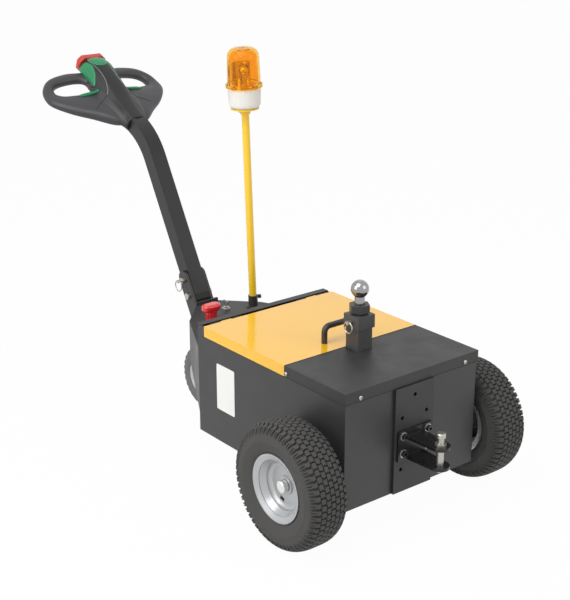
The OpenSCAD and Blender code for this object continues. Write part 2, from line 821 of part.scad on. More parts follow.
// Turf tyre
module drive_tire(s) { color("#2b2b2b") at_wheel(s) rotate_extrude($fn = 96) polygon(tire_section()); }

// Pressed rim: barrel with a drop centre, a bowl with two slots, and the hub
module drive_rim(s) {
    h = rim_w / 2;
    in_r = rim_seat_r - rim_t;
    well_r = rim_seat_r - well_depth;
    well_edge = well_hw + well_slope;
    bowl = [in_r - bowl_rim, face_z + bowl_r];
    bore_r = spindle_d / 2 + run_gap;
    color("#c4c4c4") at_wheel(s) difference() {
        union() {
            rotate_extrude($fn = 96) polygon([[in_r, -h + 6], [rim_r - rim_t, -h], [rim_r, -h],
                [rim_r, -h + lip_t], [rim_seat_r, -h + 9], [rim_seat_r, -well_edge], [well_r, -well_hw],
                [well_r, well_hw], [rim_seat_r, well_edge], [rim_seat_r, h - 9], [rim_r, h - lip_t],
                [rim_r, h], [rim_r - rim_t, h], [in_r, h - 6], [in_r, well_edge - 2],
                [well_r - rim_t, well_hw - 2], [well_r - rim_t, -well_hw - 2], [in_r, -well_edge - 2]]);
            rotate_extrude($fn = 96) polygon(concat([[in_r + 0.5, h - 8]], arc(bowl, bowl_r, 0, -90, 6),
                [[hub_r - 2, face_z], [hub_r - 2, face_z - disc_t]], arc(bowl, bowl_r + disc_t, -90, 0, 6),
                [[in_r + 0.5, h - 15]]));
            rotate_extrude($fn = 96) polygon([[bore_r, -hub_in], [hub_r, -hub_in], [hub_r, face_z],
                [boss_r, face_z], [boss_r, hub_out], [bore_r, hub_out]]);
        }
        for (k = [0, 1]) rotate([0, 0, slot_turn + 180 * k]) translate([slot_at, 0, face_z - disc_t - 1])
            linear_extrude(disc_t + 2) square(slot_size, center = true);
    }
}

module left_tire() { drive_tire(-1); }
module left_rim() { drive_rim(-1); }
module right_tire() { drive_tire(1); }
module right_rim() { drive_rim(1); }

// Swivel fork with its kingpin and axle bolt
module caster_fork() {
    leg_in = caster_w / 2 + fork_gap;
    leg_out = leg_in + fork_t;
    crown_top = crown_low + crown_t;
    color("#8a8a8a") place() {
        translate([0, swivel_y, crown_low]) cylinder(d = 2 * leg_out, h = crown_t);
        span([-leg_out, swivel_y, crown_low], [leg_out, swivel_y + leg_hl, crown_top]);
        translate([0, swivel_y, crown_low]) cylinder(d = kingpin_d, h = nose_low_z - crown_low);
        for (s = [-1, 1]) translate([s * (leg_in + fork_t / 2), 0, 0]) slab_x(fork_t)
            polygon([[swivel_y - leg_hl * 2 / 3, crown_top], [swivel_y + leg_hl, crown_top],
                [caster_y + eye_r, caster_r], [caster_y + 10, caster_r - eye_r],
                [caster_y - 10, caster_r - eye_r], [caster_y - eye_r - 2, caster_r]]);
        translate([0, caster_y, caster_r]) along_x(-leg_out - 8, leg_out + 8, caster_axle_d / 2);
    }
}

module at_caster() { place() translate([0, caster_y, caster_r]) rotate([0, 90, 0]) children(); }

// Caster tyre
module caster_tire() {
    h = caster_w / 2;
    seat = caster_r - caster_rubber;
    color("#6f7276") at_caster() rotate_extrude() polygon(concat(
        [[seat + seat_gap, -h + 8], [seat + 14, -h + 2]], arc([caster_r - h + 2, 0], h - 2, -70, 70, 8),
        [[seat + 14, h - 2], [seat + seat_gap, h - 8]]));
}

// Caster rim: hub, web and seat, alike on both sides
module caster_rim() {
    h = caster_w / 2;
    seat = caster_r - caster_rubber;
    half = [[caster_axle_d / 2 + run_gap, h + 2], [caster_hub_r, h + 2],
        [caster_hub_r + 2, caster_web_t / 2], [seat - 8, caster_web_t / 2 - 2],
        [seat - 4, h - 8], [seat, h - 8]];
    color("#d9d9d6") at_caster() rotate_extrude()
        polygon(concat(half, [for (i = [len(half) - 1:-1:0]) [half[i][0], -half[i][1]]]));
}

// Yellow lid over the batteries
module battery_lid() {
    back = hinge_y - knuckle_r;
    strap_z = body_top - lid_t;
    color("#f6b81c") place() difference() {
        union() {
            difference() {
                span([-body_w / 2, deck_l, body_top - flange_h], [body_w / 2, back, body_top]);
                span([-body_w / 2 + lid_t, deck_l - 1, body_top - flange_h - 1],
                    [body_w / 2 - lid_t, back + 1, strap_z]);
            }
            knuckle_row(1);
            for (s = [-1, 1], k = knuckles) if (k[1] == 1)
                span([knuckle_x(s, k) - knuckle_hl, back - 12, strap_z - 1.5],
                    [knuckle_x(s, k) + knuckle_hl, hinge_y, body_top - 0.5]);
        }
        translate([0, hinge_y, hinge_z]) along_x(-body_w / 2, body_w / 2, hinge_pin_d / 2 + run_gap);
    }
}

// Bent-rod pull handle of the lid
module lid_handle() {
    inner = handle_hw - handle_bend;
    color("#262626") place() translate([0, deck_l + handle_back, body_top]) {
        for (s = [-1, 1]) translate([s * handle_hw, 0, 0])
            cylinder(r = handle_r, h = handle_h - handle_bend);
        translate([0, 0, handle_h]) along_x(-inner, inner, handle_r);
        for (s = [0, 1]) mirror([s, 0, 0]) translate([inner, 0, handle_h - handle_bend]) rotate([90, 0, 0])
            rotate_extrude(angle = 90) translate([handle_bend, 0]) circle(r = handle_r, $fn = 32);
    }
}

// Square tube of the tiller, bent over at the top
module tiller_arm() {
    turn = 16;
    out = arc(bend_mid, bend_r + arm_d / 2, 90 + arm_angle, 90 + head_angle, turn);
    in = arc(bend_mid, bend_r - arm_d / 2, 90 + head_angle, 90 + arm_angle, turn);
    foot = [pivot_y, pivot_z] - arm_foot * arm_dir;
    across = arm_d / 2 * [sin(arm_angle), -cos(arm_angle)];
    color("#3a3a3a") place() difference() {
        slab_x(arm_w) polygon(concat([foot + across, foot - across], out, in));
        translate([0, pivot_y, pivot_z]) along_x(-arm_w, arm_w, pivot_d / 2 + run_gap);
        translate([0, pivot_y + lock_up * arm_dir[0], pivot_z + lock_up * arm_dir[1]])
            along_x(-arm_w, arm_w, lock_d / 2 + 0.5);
    }
}

// Frame of the head: local +Y runs along its hub, +Z is its top
module at_head() { place() translate([0, head_at[0], head_at[1]]) rotate([head_angle, 0, 0]) children(); }

// Hub sections: share of the head's length, half width, lowest and highest point
hub_rows = [[0, 33, -28, 27], [0.12, 38, -31, 31], [0.33, 45, -33, 40], [0.55, 46, -32, 49],
    [0.76, 43, -28, 56], [0.91, 40, -22, 58], [1, 38, -14, 56]];

// Wing stations round the hand hole: inner x and place, outer x and place, height and half height
wing_rows = [[56, 196, 14, 60, -2, 22], [92, 187, 44, 16, -2, 22], [124, 187, 106, 66, -3, 20],
    [150, 193, 158, 110, -5, loop_t / 2 + 2], [163, 205, loop_hw - 6, 163, -7, loop_t / 2],
    [166, 218, loop_hw, 204, -8, loop_t / 2], [160, 238, loop_hw - 11, 246, -4, loop_t / 2],
    [138, 250, 160, 280, 1, loop_t / 2], [104, 252, 102, 292, 6, loop_t / 2],
    [72, 247, 56, 284, 10, loop_t / 2], [55, 233, 12, 272, 11, loop_t / 2],
    [48, 214, 8, 180, 4, loop_t / 2 + 2]];

// Throttle barrel in the hub's flank: place along the hub, height, radius and reach from the centre plane
barrel = [214, 14, 15, 51.5];

// Hub, throttle barrel and wings with the hand holes
module tiller_head() {
    color("#3a3a3a") at_head() {
        loft([for (r = hub_rows) [for (t = [0:15:345]) let (q = squircle(r[1], (r[3] - r[2]) / 2, t, 0.5))
            [q[0], seat_gap + r[0] * (head_l - seat_gap), (r[2] + r[3]) / 2 + q[1]]]]);
        loft([for (x = [-barrel[3], barrel[3]]) [for (t = [0:15:345])
            [x, barrel[0] - barrel[2] * cos(t), barrel[1] + barrel[2] * sin(t)]]]);
        for (s = [0, 1]) mirror([s, 0, 0]) wing();
    }
}

// Smooth value round a closed table, with s counted in rows
function smooth_round(t, s) = let (n = len(t), i = floor(s))
    smooth([for (k = [-1:2]) t[(i + k + n) % n]], 1 + s - i);

// One wing, swept round its hand hole from inner to outer edge
module wing() {
    steps = 36;
    sides = 16;
    n = len(wing_rows);
    rings = [for (i = [0:steps - 1]) let (
        p = smooth_round(wing_rows, n * i / steps),
        mid = [p[0] + p[2], p[1] + p[3]] / 2,
        out = [p[2] - p[0], p[3] - p[1]] / 2)
        [for (k = [0:sides - 1]) let (q = squircle(1, p[5], 360 * k / sides, 0.8))
            [mid[0] + q[0] * out[0], mid[1] + q[0] * out[1], p[4] + q[1]]]];
    polyhedron(points = [for (r = rings) each r], faces = [for (k = [0:steps - 1], i = [0:sides - 1]) let (
        a = k * sides, b = (k + 1) % steps * sides, j = (i + 1) % sides)
        each [[a + i, a + j, b + i], [a + j, b + j, b + i]]]);
}

// Red safety cap on the end of the hub
module head_cap() {
    color("#d42a30") at_head() translate([0, head_l + cap_l, 0]) rotate([90, 0, 0]) linear_extrude(cap_l)
        polygon([[-cap_hw, cap_low], [cap_hw, cap_low], [cap_hw, cap_side], [cap_top_hw, cap_high],
            [-cap_top_hw, cap_high], [-cap_hw, cap_side]]);
}

// Outline of a flank panel in (place along the flank, height): straight below, arched above
flank_panel = [[82, 23], [0, 23], [8, 34], [22, 44], [42, 49], [62, 47], [76, 38]];

// Green panels: a domed leaf on each tapered flank of the hub, and a patch on its top
module head_panels() {
    leaf_x = 44.4;
    leaf_up = 8;
    leaf_back = 94;
    flank_taper = 3.3;
    dome_r = 70;
    dome_h = 11;
    patch_z = 58.3;
    color("#1f9a5f") at_head() translate([0, head_l, 0]) {
        for (s = [0, 1]) mirror([s, 0, 0]) translate([leaf_x, -leaf_back, leaf_up])
            rotate([0, 0, flank_taper]) intersection() {
                translate([dome_h, 0, 0]) slab_x(2 * dome_h) polygon(flank_panel);
                translate([dome_h - dome_r, 39, 26]) sphere(r = dome_r);
            }
        translate([0, 0, patch_z]) linear_extrude(3)
            polygon([[-34, -10], [-31, -44], [-22, -62], [22, -62], [31, -44], [34, -10]]);
    }
}

// Thumb levers of the throttle, one at each end of the barrel
module head_levers() {
    color("#1f7a55") at_head() for (s = [-1, 1])
        translate([s * (barrel[3] + rest_gap + lever_l / 2), barrel[0], barrel[1]]) slab_x(lever_l)
            polygon([[-12, -3], [12, -8], [12, -3], [-12, 5]]);
}

tub();
deck_lid();
rear_rim();
lid_hinge();
nose_shell();
nose_top();
nose_floor();
drive_axle();
transaxle();
batteries();
hitch_plate();
tow_jaw();
tow_pin();
hitch_bolts();
receiver_post();
ball_mount();
cross_pin();
tiller_bracket();
pivot_bolt();
lock_pin();
caster_plate();
mast_socket();
mast();
beacon_plate();
beacon_base();
beacon_lens();
beacon_lamp();
beacon_lead();
emergency_stop();
key_switch();
left_tire();
left_rim();
right_tire();
right_rim();
caster_fork();
caster_tire();
caster_rim();
battery_lid();
lid_handle();
tiller_arm();
tiller_head();
head_cap();
head_panels();
head_levers();
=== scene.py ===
"""Looks of the electric tugger: finishes of its solids, treaded tyres, a moulded tiller head and trim."""
import json
import math

import bmesh
import bpy
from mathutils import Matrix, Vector
from mathutils.bvhtree import BVHTree

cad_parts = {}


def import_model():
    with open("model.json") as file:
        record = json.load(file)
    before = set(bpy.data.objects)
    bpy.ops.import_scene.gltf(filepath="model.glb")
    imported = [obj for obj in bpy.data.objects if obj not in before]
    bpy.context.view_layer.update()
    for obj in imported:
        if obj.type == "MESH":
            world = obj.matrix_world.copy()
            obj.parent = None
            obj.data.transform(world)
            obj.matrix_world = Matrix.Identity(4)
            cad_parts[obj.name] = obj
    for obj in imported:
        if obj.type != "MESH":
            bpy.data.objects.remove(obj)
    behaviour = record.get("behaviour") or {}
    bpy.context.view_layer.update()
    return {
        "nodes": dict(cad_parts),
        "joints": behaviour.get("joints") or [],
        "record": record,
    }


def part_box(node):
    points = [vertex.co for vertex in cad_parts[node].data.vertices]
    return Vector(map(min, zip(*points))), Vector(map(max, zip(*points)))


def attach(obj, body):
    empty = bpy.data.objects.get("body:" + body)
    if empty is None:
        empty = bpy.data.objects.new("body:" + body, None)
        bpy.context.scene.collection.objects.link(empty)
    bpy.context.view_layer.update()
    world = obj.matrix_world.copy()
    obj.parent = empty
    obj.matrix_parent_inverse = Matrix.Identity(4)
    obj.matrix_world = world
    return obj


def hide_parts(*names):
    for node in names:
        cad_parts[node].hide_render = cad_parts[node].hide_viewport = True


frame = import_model()

MM = 0.001
TAU = 2 * math.pi
BOTH_SIDES = (-1, 1)
UPWARD = Vector((0, 0, 1))

# Colours, as sRGB hex digits
COAT_BLACK = "373636"
LID_BLACK = "2d2c2c"
NOSE_BLACK = "2f2e2e"
# Lighter black on the receiver post, painted light
POST_LIT_BLACK = "4a494a"
JAW_BLACK = "171617"
STEEL_BLACK = "333232"
ARM_BLACK = "222123"
GRIP_BLACK = "373639"
SPINE_BLACK = "0f0e0f"
# Black of painted shade in gaps and hollows, and of the head's dark seams
SHADE_AND_SEAM_BLACK = "161616"
BATTERY_BLACK = "2a2a2c"
RUBBER = "474645"
CASTER_GREY = "6c6d6f"
IRON_GREY = "77787a"
# Pale grey of painted highlights on the head's raised edges
HIGHLIGHT_GREY = "77777b"
BOLT_GREY = "4c4b4a"
CASTER_RIM_PALE = "d3d2cc"
RIM_SILVER = "b9babc"
ZINC = "b9b7ae"
WASHER_ZINC = "c4c2ba"
CHROME = "9c9c9c"
REFLECTOR = "d8d6d0"
CAP_BRIGHT = "e8e8e6"
YELLOW = "fdc01a"
MAST_YELLOW = "ffd02a"
AMBER = "ffc344"
BEACON_WHITE = "ecebe4"
PLATE_WHITE = "f4f4f1"
STOP_RED = "e4282b"
CAP_RED = "c8402f"
THUMB_GREEN = "1d8856"


# Materials

# The part of a noise value's range that is used, and how far roughness strays to both sides
NOISE_LOW, NOISE_HIGH = 0.3, 0.7
ROUGH_SPREAD = 0.06
ROUGH_LEAST = 0.02
GRAIN_DEPTH = 0.3 * MM
BEVEL_SAMPLES = 4
# Cosine between softened and true normal where an edge is fully worn and where wear ends, and the worn tone
WEAR_FULL, WEAR_NONE = 0.8, 0.99
WORN_TONE = 3.2
# Numbers of the colour sockets of a mix node
MIX_FIRST, MIX_SECOND, MIX_RESULT = 6, 7, 2


def linear(text):
    """Linear RGBA of a colour written as six sRGB hex digits."""
    parts = [int(text[i:i + 2], 16) / 255 for i in (0, 2, 4)]
    return [p / 12.92 if p <= 0.04045 else ((p + 0.055) / 1.055) ** 2.4 for p in parts] + [1.0]


def shade(color, factor):
    """A linear colour made darker or lighter."""
    return [min(1.0, c * factor) for c in color[:3]] + [1.0]


class Nodes:
    """Short calls for building one material's node tree around its shader."""

    def __init__(self, name):
        self.material = bpy.data.materials.new(name)
        self.material.use_nodes = True
        self.tree = self.material.node_tree
        self.shader = self.tree.nodes["Principled BSDF"]

    def new(self, kind, **values):
        """Node of a kind, with values for its inputs."""
        made = self.tree.nodes.new("ShaderNode" + kind)
        for key, value in values.items():
            made.inputs[key.replace("_", " ")].default_value = value
        return made

    def link(self, source, target):
        """Link from an output to an input."""
        self.tree.links.new(source, target)

    def noise(self, size_mm, detail=3.0):
        """Noise whose features are about this large, in the part's own coordinates."""
        made = self.new("TexNoise", Scale=1 / (size_mm * MM), Detail=detail)
        place = self.new("TexCoord")
        self.link(place.outputs["Object"], made.inputs["Vector"])
        return made.outputs["Fac"]

    def ramp(self, value, low, high, start=0.0, end=1.0):
        """Number that goes from low to high while a value goes from start to end."""
        made = self.new("MapRange", From_Min=start, From_Max=end, To_Min=low, To_Max=high)
        self.link(value, made.inputs["Value"])
        return made.outputs["Result"]

    def mix(self, factor, first, second):
        """Colour between two, each a colour or another node's output."""
        made = self.tree.nodes.new("ShaderNodeMix")
        made.data_type = "RGBA"
        self.link(factor, made.inputs[0])
        for socket, value in ((MIX_FIRST, first), (MIX_SECOND, second)):
            if isinstance(value, list):
                made.inputs[socket].default_value = value
            else:
                self.link(value, made.inputs[socket])
        return made.outputs[MIX_RESULT]

    def edge_wear(self, bevel, amount):
        """Amount of wear on edges, where the softened normal turns away from the true one."""
        geometry = self.new("NewGeometry")
        turn = self.new("VectorMath")
        turn.operation = "DOT_PRODUCT"
        self.link(bevel.outputs["Normal"], turn.inputs[0])
        self.link(geometry.outputs["Normal"], turn.inputs[1])
        return self.ramp(turn.outputs["Value"], amount, 0.0, WEAR_FULL, WEAR_NONE)

    def distance(self, axis):
        """Distance from the part's origin along one axis, to either side."""
        place = self.new("TexCoord")
        split = self.new("SeparateXYZ")
        self.link(place.outputs["Object"], split.inputs["Vector"])
        size = self.new("Math")
        size.operation = "ABSOLUTE"
        self.link(split.outputs[axis], size.inputs[0])
        return size.outputs[0]


def finish(name, color, rough, metal=0.0, mottle=0.1, patch_mm=60, grain=0.1, grain_mm=1.5, edge_mm=0.8,
           wear=0.0, second=None, **sockets):
    """Finish with broad colour variation, fine grain, softened edges and, where asked, worn edges.
    second is (axis, first, last, colour, roughness, metallic) of another finish, which takes over while the
    distance along that axis goes from first to last."""
    nodes = Nodes(name)
    shader = nodes.shader
    base = linear(color)
    broad = nodes.noise(patch_mm)
    tone = nodes.mix(broad, shade(base, 1 - mottle), shade(base, 1 + mottle))
    bevel = nodes.new("Bevel", Radius=edge_mm * MM)
    bevel.samples = BEVEL_SAMPLES
    if wear:
        tone = nodes.mix(nodes.edge_wear(bevel, wear), tone, shade(base, WORN_TONE))
    smooth, coarse = max(ROUGH_LEAST, rough - ROUGH_SPREAD), min(1.0, rough + ROUGH_SPREAD)
    roughness = nodes.ramp(broad, smooth, coarse, NOISE_LOW, NOISE_HIGH)
    if second:
        axis, first, last, color_2, rough_2, metal_2 = second
        factor = nodes.ramp(nodes.distance(axis), 0.0, 1.0, first, last)
        tone = nodes.mix(factor, tone, linear(color_2))
        mixed = nodes.new("Mix", B=rough_2)
        nodes.link(factor, mixed.inputs[0])
        nodes.link(roughness, mixed.inputs["A"])
        roughness = mixed.outputs[0]
        nodes.link(nodes.ramp(factor, metal, metal_2), shader.inputs["Metallic"])
    else:
        shader.inputs["Metallic"].default_value = metal
    bump = nodes.new("Bump", Strength=grain, Distance=GRAIN_DEPTH)
    nodes.link(nodes.noise(grain_mm, detail=2.0), bump.inputs["Height"])
    nodes.link(bevel.outputs["Normal"], bump.inputs["Normal"])
    nodes.link(tone, shader.inputs["Base Color"])
    nodes.link(roughness, shader.inputs["Roughness"])
    nodes.link(bump.outputs["Normal"], shader.inputs["Normal"])
    for key, value in sockets.items():
        shader.inputs[key.replace("_", " ")].default_value = value
    return nodes.material


# Where a second finish takes over: at the tow ball's neck, the bolts' heads and the head's dark spine
BALL_AND_NECK = 62 * MM
BOLT_HEAD = 9 * MM
SPINE_EDGE, SPINE_FULL = 44 * MM, 33 * MM
CHANGE_OVER = 0.2 * MM
ball_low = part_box("ball_mount")[1].z - BALL_AND_NECK
bolt_head = -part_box("hitch_bolts")[0].y - BOLT_HEAD

POWDER = {"wear": 0.12, "grain": 0.16}

looks = {
    "body_black": finish("powder coat", COAT_BLACK, 0.42, **POWDER),
    "lid_black": finish("lid powder coat", LID_BLACK, 0.5, **POWDER),
    "steel_black": finish("black steel", STEEL_BLACK, 0.42, wear=0.2, grain=0.14),
    "lid_yellow": finish("yellow enamel", YELLOW, 0.16, mottle=0.03, grain=0.03, grain_mm=4, edge_mm=1.0,
                         Coat_Weight=0.6, Coat_Roughness=0.06),
    "mast_yellow": finish("mast enamel", MAST_YELLOW, 0.25, mottle=0.04, grain=0.05, Coat_Weight=0.4),
    "zinc": finish("zinc plate", ZINC, 0.3, metal=0.9, mottle=0.15, patch_mm=8, grain=0.2),
    "ball_chrome": finish("chromed ball", STEEL_BLACK, 0.4, mottle=0.06,
                          second=("Z", ball_low, ball_low + CHANGE_OVER, CHROME, 0.12, 1.0)),
    "rim_silver": finish("silver rim paint", RIM_SILVER, 0.34, metal=0.55, mottle=0.05, grain=0.1),
    "tire_black": finish("turf rubber", RUBBER, 0.78, mottle=0.2, patch_mm=30, grain=0.3, grain_mm=1.2,
                         edge_mm=1.5, wear=0.2),
    "caster_grey": finish("caster rubber", CASTER_GREY, 0.7, mottle=0.12, patch_mm=25, grain=0.2),
    "caster_rim_pale": finish("caster rim", CASTER_RIM_PALE, 0.45, mottle=0.06, patch_mm=30),
    "cast_grey": finish("cast iron", IRON_GREY, 0.5, metal=0.5, mottle=0.18, patch_mm=18, grain=0.4),
    "battery_case": finish("battery case", BATTERY_BLACK, 0.55, mottle=0.1),
    "beacon_white": finish("beacon base", BEACON_WHITE, 0.38, mottle=0.02, grain=0.04),
    "beacon_amber": finish("amber lens", AMBER, 0.04, mottle=0.03, grain=0.02, Transmission_Weight=0.97,
                           IOR=1.25),
    "lamp_silver": finish("lamp reflector", REFLECTOR, 0.15, metal=0.9, mottle=0.08),
    "control_red": finish("red control", STOP_RED, 0.22, mottle=0.05, grain=0.06, Coat_Weight=0.6),
    "control_green": finish("green control", THUMB_GREEN, 0.3, mottle=0.06, grain=0.06),
    "grip_black": finish("moulded grip", GRIP_BLACK, 0.44, mottle=0.07, grain=0.25, grain_mm=1.0,
                         second=("X", SPINE_EDGE, SPINE_FULL, SPINE_BLACK, 0.46, 0.0)),
}
plate_white = finish("blank plate", PLATE_WHITE, 0.4, mottle=0.02, grain=0.02)
# Pale grey of a painted highlight along the raised edges of the head
highlight_pale = finish("painted edge highlight", HIGHLIGHT_GREY, 0.3, mottle=0.05)
# Black for painted shade under flanges and in gaps and hollows, and for the dark seams on the head
shade_and_seam_black = finish("painted shade and dark seams", SHADE_AND_SEAM_BLACK, 0.7, mottle=0.1)
cap_red = finish("safety cap", CAP_RED, 0.36, mottle=0.05, grain=0.08)
bright = finish("bright cap", CAP_BRIGHT, 0.2, metal=0.9, mottle=0.05, patch_mm=10)
# Finishes of single solids that differ from the rest of their material, and a lighter copy for the post that
# is painted light
own_looks = {
    # The post has a lighter copy of the black coat: painted light on its face, which the lamps leave in shade
    "receiver_post": finish("post coat with painted light", POST_LIT_BLACK, 0.5, **POWDER),
    "nose_shell": finish("nose powder coat", NOSE_BLACK, 0.45, **POWDER),
    "tow_jaw": finish("jaw enamel", JAW_BLACK, 0.26, wear=0.6, grain=0.08, edge_mm=1.2),
    "tiller_arm": finish("arm coat", ARM_BLACK, 0.34, wear=0.15, grain=0.06, Specular_IOR_Level=0.4),
    "hitch_bolts": finish("bolts and washers", WASHER_ZINC, 0.26, metal=0.9, mottle=0.12, patch_mm=8,
                          second=("Y", bolt_head, bolt_head + CHANGE_OVER, BOLT_GREY, 0.3, 0.8)),
}

for row in frame["record"]["subparts"]:
    slots = frame["nodes"][row["node"]].data.materials
    slots.clear()
    slots.append(own_looks.get(row["node"], looks[row["material_slot"]]))


# Meshes

SHARP_DEG = 38


class Shape:
    """Vertices and faces that grow by whole closed forms."""

    def __init__(self):
        self.verts = []
        self.faces = []

    def loft(self, rings, closed=False):
        """Skin over rings of points, capped at both ends, or joined into a loop."""
        start = len(self.verts)
        n = len(rings[0])
        m = len(rings)
        for ring in rings:
            self.verts.extend(ring)
        for k in range(m if closed else m - 1):
            a = start + k * n
            b = start + (k + 1) % m * n
            for i in range(n):
                j = (i + 1) % n
                self.faces.append((a + i, a + j, b + j, b + i))
        if not closed:
            self.faces.append(tuple(start + i for i in reversed(range(n))))
            self.faces.append(tuple(start + (m - 1) * n + i for i in range(n)))

    def piece(self, name, look, body, sharp_deg=SHARP_DEG):
        """Object made of this shape, with its faces turned outward, riding on a body."""
        data = bpy.data.meshes.new(name)
        data.from_pydata([tuple(v) for v in self.verts], [], self.faces)
        data.update()
        data.materials.append(look)
        data.shade_smooth()
        data.set_sharp_from_angle(angle=math.radians(sharp_deg))
        made = bpy.data.objects.new(name, data)
        bpy.context.scene.collection.objects.link(made)
        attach(made, body)
        outward(data)
        return made


def outward(data):
    """Turn every face of a mesh to look outward."""
    mesh = bmesh.new()
    mesh.from_mesh(data)
    bmesh.ops.recalc_face_normals(mesh, faces=mesh.faces)
    mesh.to_mesh(data)
    mesh.free()


def catmull(rows, s):
    """Smooth row between rows of a table, with s counted in rows."""
    last = len(rows) - 1
    i = min(int(s), last - 1)
    f = s - i
    near = [rows[max(0, min(last, i + k))] for k in (-1, 0, 1, 2)]
    made = []
    for p, q, r, t in zip(*near):
        square = 2 * p - 5 * q + 4 * r - t
        cube = 3 * q - p - 3 * r + t
        made.append(0.5 * (2 * q + (r - p) * f + square * f * f + cube * f ** 3))
    return made


def loop_row(rows, s):
    """Smooth row of a table whose end runs on into its start, with s counted in rows."""
    near = [rows[(int(s) + i) % len(rows)] for i in (-1, 0, 1, 2)]
    return catmull(near, 1 + s - int(s))


def squircle(half_w, half_h, angle, power):
    """Point of a rounded rectangle at an angle."""
    c, s = math.cos(angle), math.sin(angle)
    return (half_w * math.copysign(abs(c) ** power, c), half_h * math.copysign(abs(s) ** power, s))


def circle(count):
    """Cosine and sine at equal steps round a circle."""
    return [(math.cos(TAU * k / count), math.sin(TAU * k / count)) for k in range(count)]


def around(middle, x, radius, angle):
    """Point about an axle through a middle: a distance along it, a radius and an angle."""
    return Vector((middle.x + x, middle.y + radius * math.cos(angle), middle.z + radius * math.sin(angle)))


class Tire:
    """Sizes of a tyre, read from the boxes of its own solid and its rim's."""

    def __init__(self, tire, rim):
        low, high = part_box(tire)
        rim_low, rim_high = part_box(rim)
        self.middle = (low + high) / 2
        self.radius = (high.z - low.z) / 2
        self.half = (high.x - low.x) / 2
        self.bead = (rim_high.z - rim_low.z) / 2

    def at(self, angle, radius, x):
        """Point at an angle and a radius, so far along the axle from the tyre's middle."""
        return around(self.middle, x, radius, angle)

    def carcass(self, shape, side, top, steps):
        """Ring whose section goes up one sidewall, over the top and down the other one."""
        section = side + top + [(r, -x) for r, x in reversed(side)]
        rings = []
        for k in range(steps):
            rings.append([self.at(TAU * k / steps, r, x) for r, x in section])
        shape.loft(rings, closed=True)


# Turf tyres

TIRE_STEPS = 136
# Sidewall in millimetres: out from the bead, or in from the tread, and in from the tyre's widest place
WALL_BY_BEAD = [(-9, 16), (1, 14), (6, 9), (16, 4), (30, 1.5), (33, 0.2), (36, 1.5)]
WALL_BY_TREAD = [(30, 1), (22, 3.5), (17, 8)]
# Crown: drop at the tyre's side, power of its curve, and share of half width and steps of the carcass there
SHOULDER_DROP = 17 * MM
CROWN_POWER = 4
CROWN_SHARE = 0.8
CROWN_STEPS = 8
# Tread blocks: rows, blocks in a row, depth, and the rows' whole width in half widths of the tyre
TREAD_ROWS = 7
TREAD_COUNT = 58
TREAD_DEPTH = 7 * MM
TREAD_SPAN = 1.72
# One block: half length and lean in pitches, half width in row widths, and its levels as size and rise
BLOCK_REACH, EDGE_BLOCK_REACH = 0.39, 0.3
BLOCK_LEAN = 0.07
BLOCK_HALF = 0.42
BLOCK_LEVELS = [(1.0, -TREAD_DEPTH - 1.5 * MM), (0.97, -0.5 * MM), (0.9, 0.0)]
# Shoulder bars, two to a block: place and half length in pitches, and a section in half lengths and sinks
BAR_OFFSET = 0.17
BAR_REACH = 0.11
BAR_SECTION = [(-1.2, 1), (-0.85, 0), (0.85, 0), (1.2, 1)]
BAR_SINK_IN, BAR_SINK_ACROSS = 5 * MM, 6 * MM
BAR_INSET = 0.4 * MM
# A bar's way over the crown, in shares of half width, and down the wall, in millimetres below the tread too
BAR_ON_CROWN = [0.85, 0.93]
BAR_ON_WALL = [(17, 0.98), (25, 0.99)]


def turf_crown(tire, x):
    """Radius of the tread's top, so far from the tyre's middle."""
    return tire.radius - SHOULDER_DROP * (abs(x) / tire.half) ** CROWN_POWER


def turf_carcass(shape, tire):
    """Smooth body of the tyre, under the tread."""
    side = [(tire.bead + out * MM, tire.half - inset * MM) for out, inset in WALL_BY_BEAD]
    side += [(tire.radius - down * MM, tire.half - inset * MM) for down, inset in WALL_BY_TREAD]
    top = []
    for k in range(CROWN_STEPS + 1):
        x = tire.half * CROWN_SHARE * (1 - 2 * k / CROWN_STEPS)
        top.append((turf_crown(tire, x) - TREAD_DEPTH, x))
    tire.carcass(shape, side, top, TIRE_STEPS)


def turf_blocks(shape, tire, pitch):
    """Chevron blocks in rows across the tread, each row turned half a pitch from the last."""
    row_w = TREAD_SPAN * tire.half / TREAD_ROWS
    edge = BLOCK_HALF * row_w
    for row in range(TREAD_ROWS):
        x0 = (row - (TREAD_ROWS - 1) / 2) * row_w
        lean = BLOCK_LEAN * pitch * (-1 if row % 2 else 1)
        reach = (EDGE_BLOCK_REACH if row in (0, TREAD_ROWS - 1) else BLOCK_REACH) * pitch
        outline = [(-reach - lean, edge), (reach - lean, edge), (reach + lean, 0),
                   (reach - lean, -edge), (-reach - lean, -edge), (-reach + lean, 0)]
        for k in range(TREAD_COUNT):
            a0 = (k + 0.5 * (row % 2)) * pitch
            rings = []
            for size, rise in BLOCK_LEVELS:
                rings.append([tire.at(a0 + size * a, turf_crown(tire, x0 + size * x) + rise, x0 + size * x)
                              for a, x in outline])
            shape.loft(rings)


def shoulder_bars(shape, tire, pitch):
    """Fine bars that carry the outer blocks on, down the sidewall's edge."""
    path = [(turf_crown(tire, tire.half * share), share) for share in BAR_ON_CROWN]
    path += [(tire.radius - down * MM, share) for down, share in BAR_ON_WALL]
    for s in BOTH_SIDES:
        for k in range(TREAD_COUNT):
            for offset in (-BAR_OFFSET, BAR_OFFSET):
                a0 = (k + offset) * pitch
                rings = []
                for r, share in path:
                    x = s * (tire.half * share - BAR_INSET)
                    rings.append([tire.at(a0 + BAR_REACH * pitch * e, r - BAR_SINK_IN * d,
                                          x - s * BAR_SINK_ACROSS * d) for e, d in BAR_SECTION])
                shape.loft(rings)


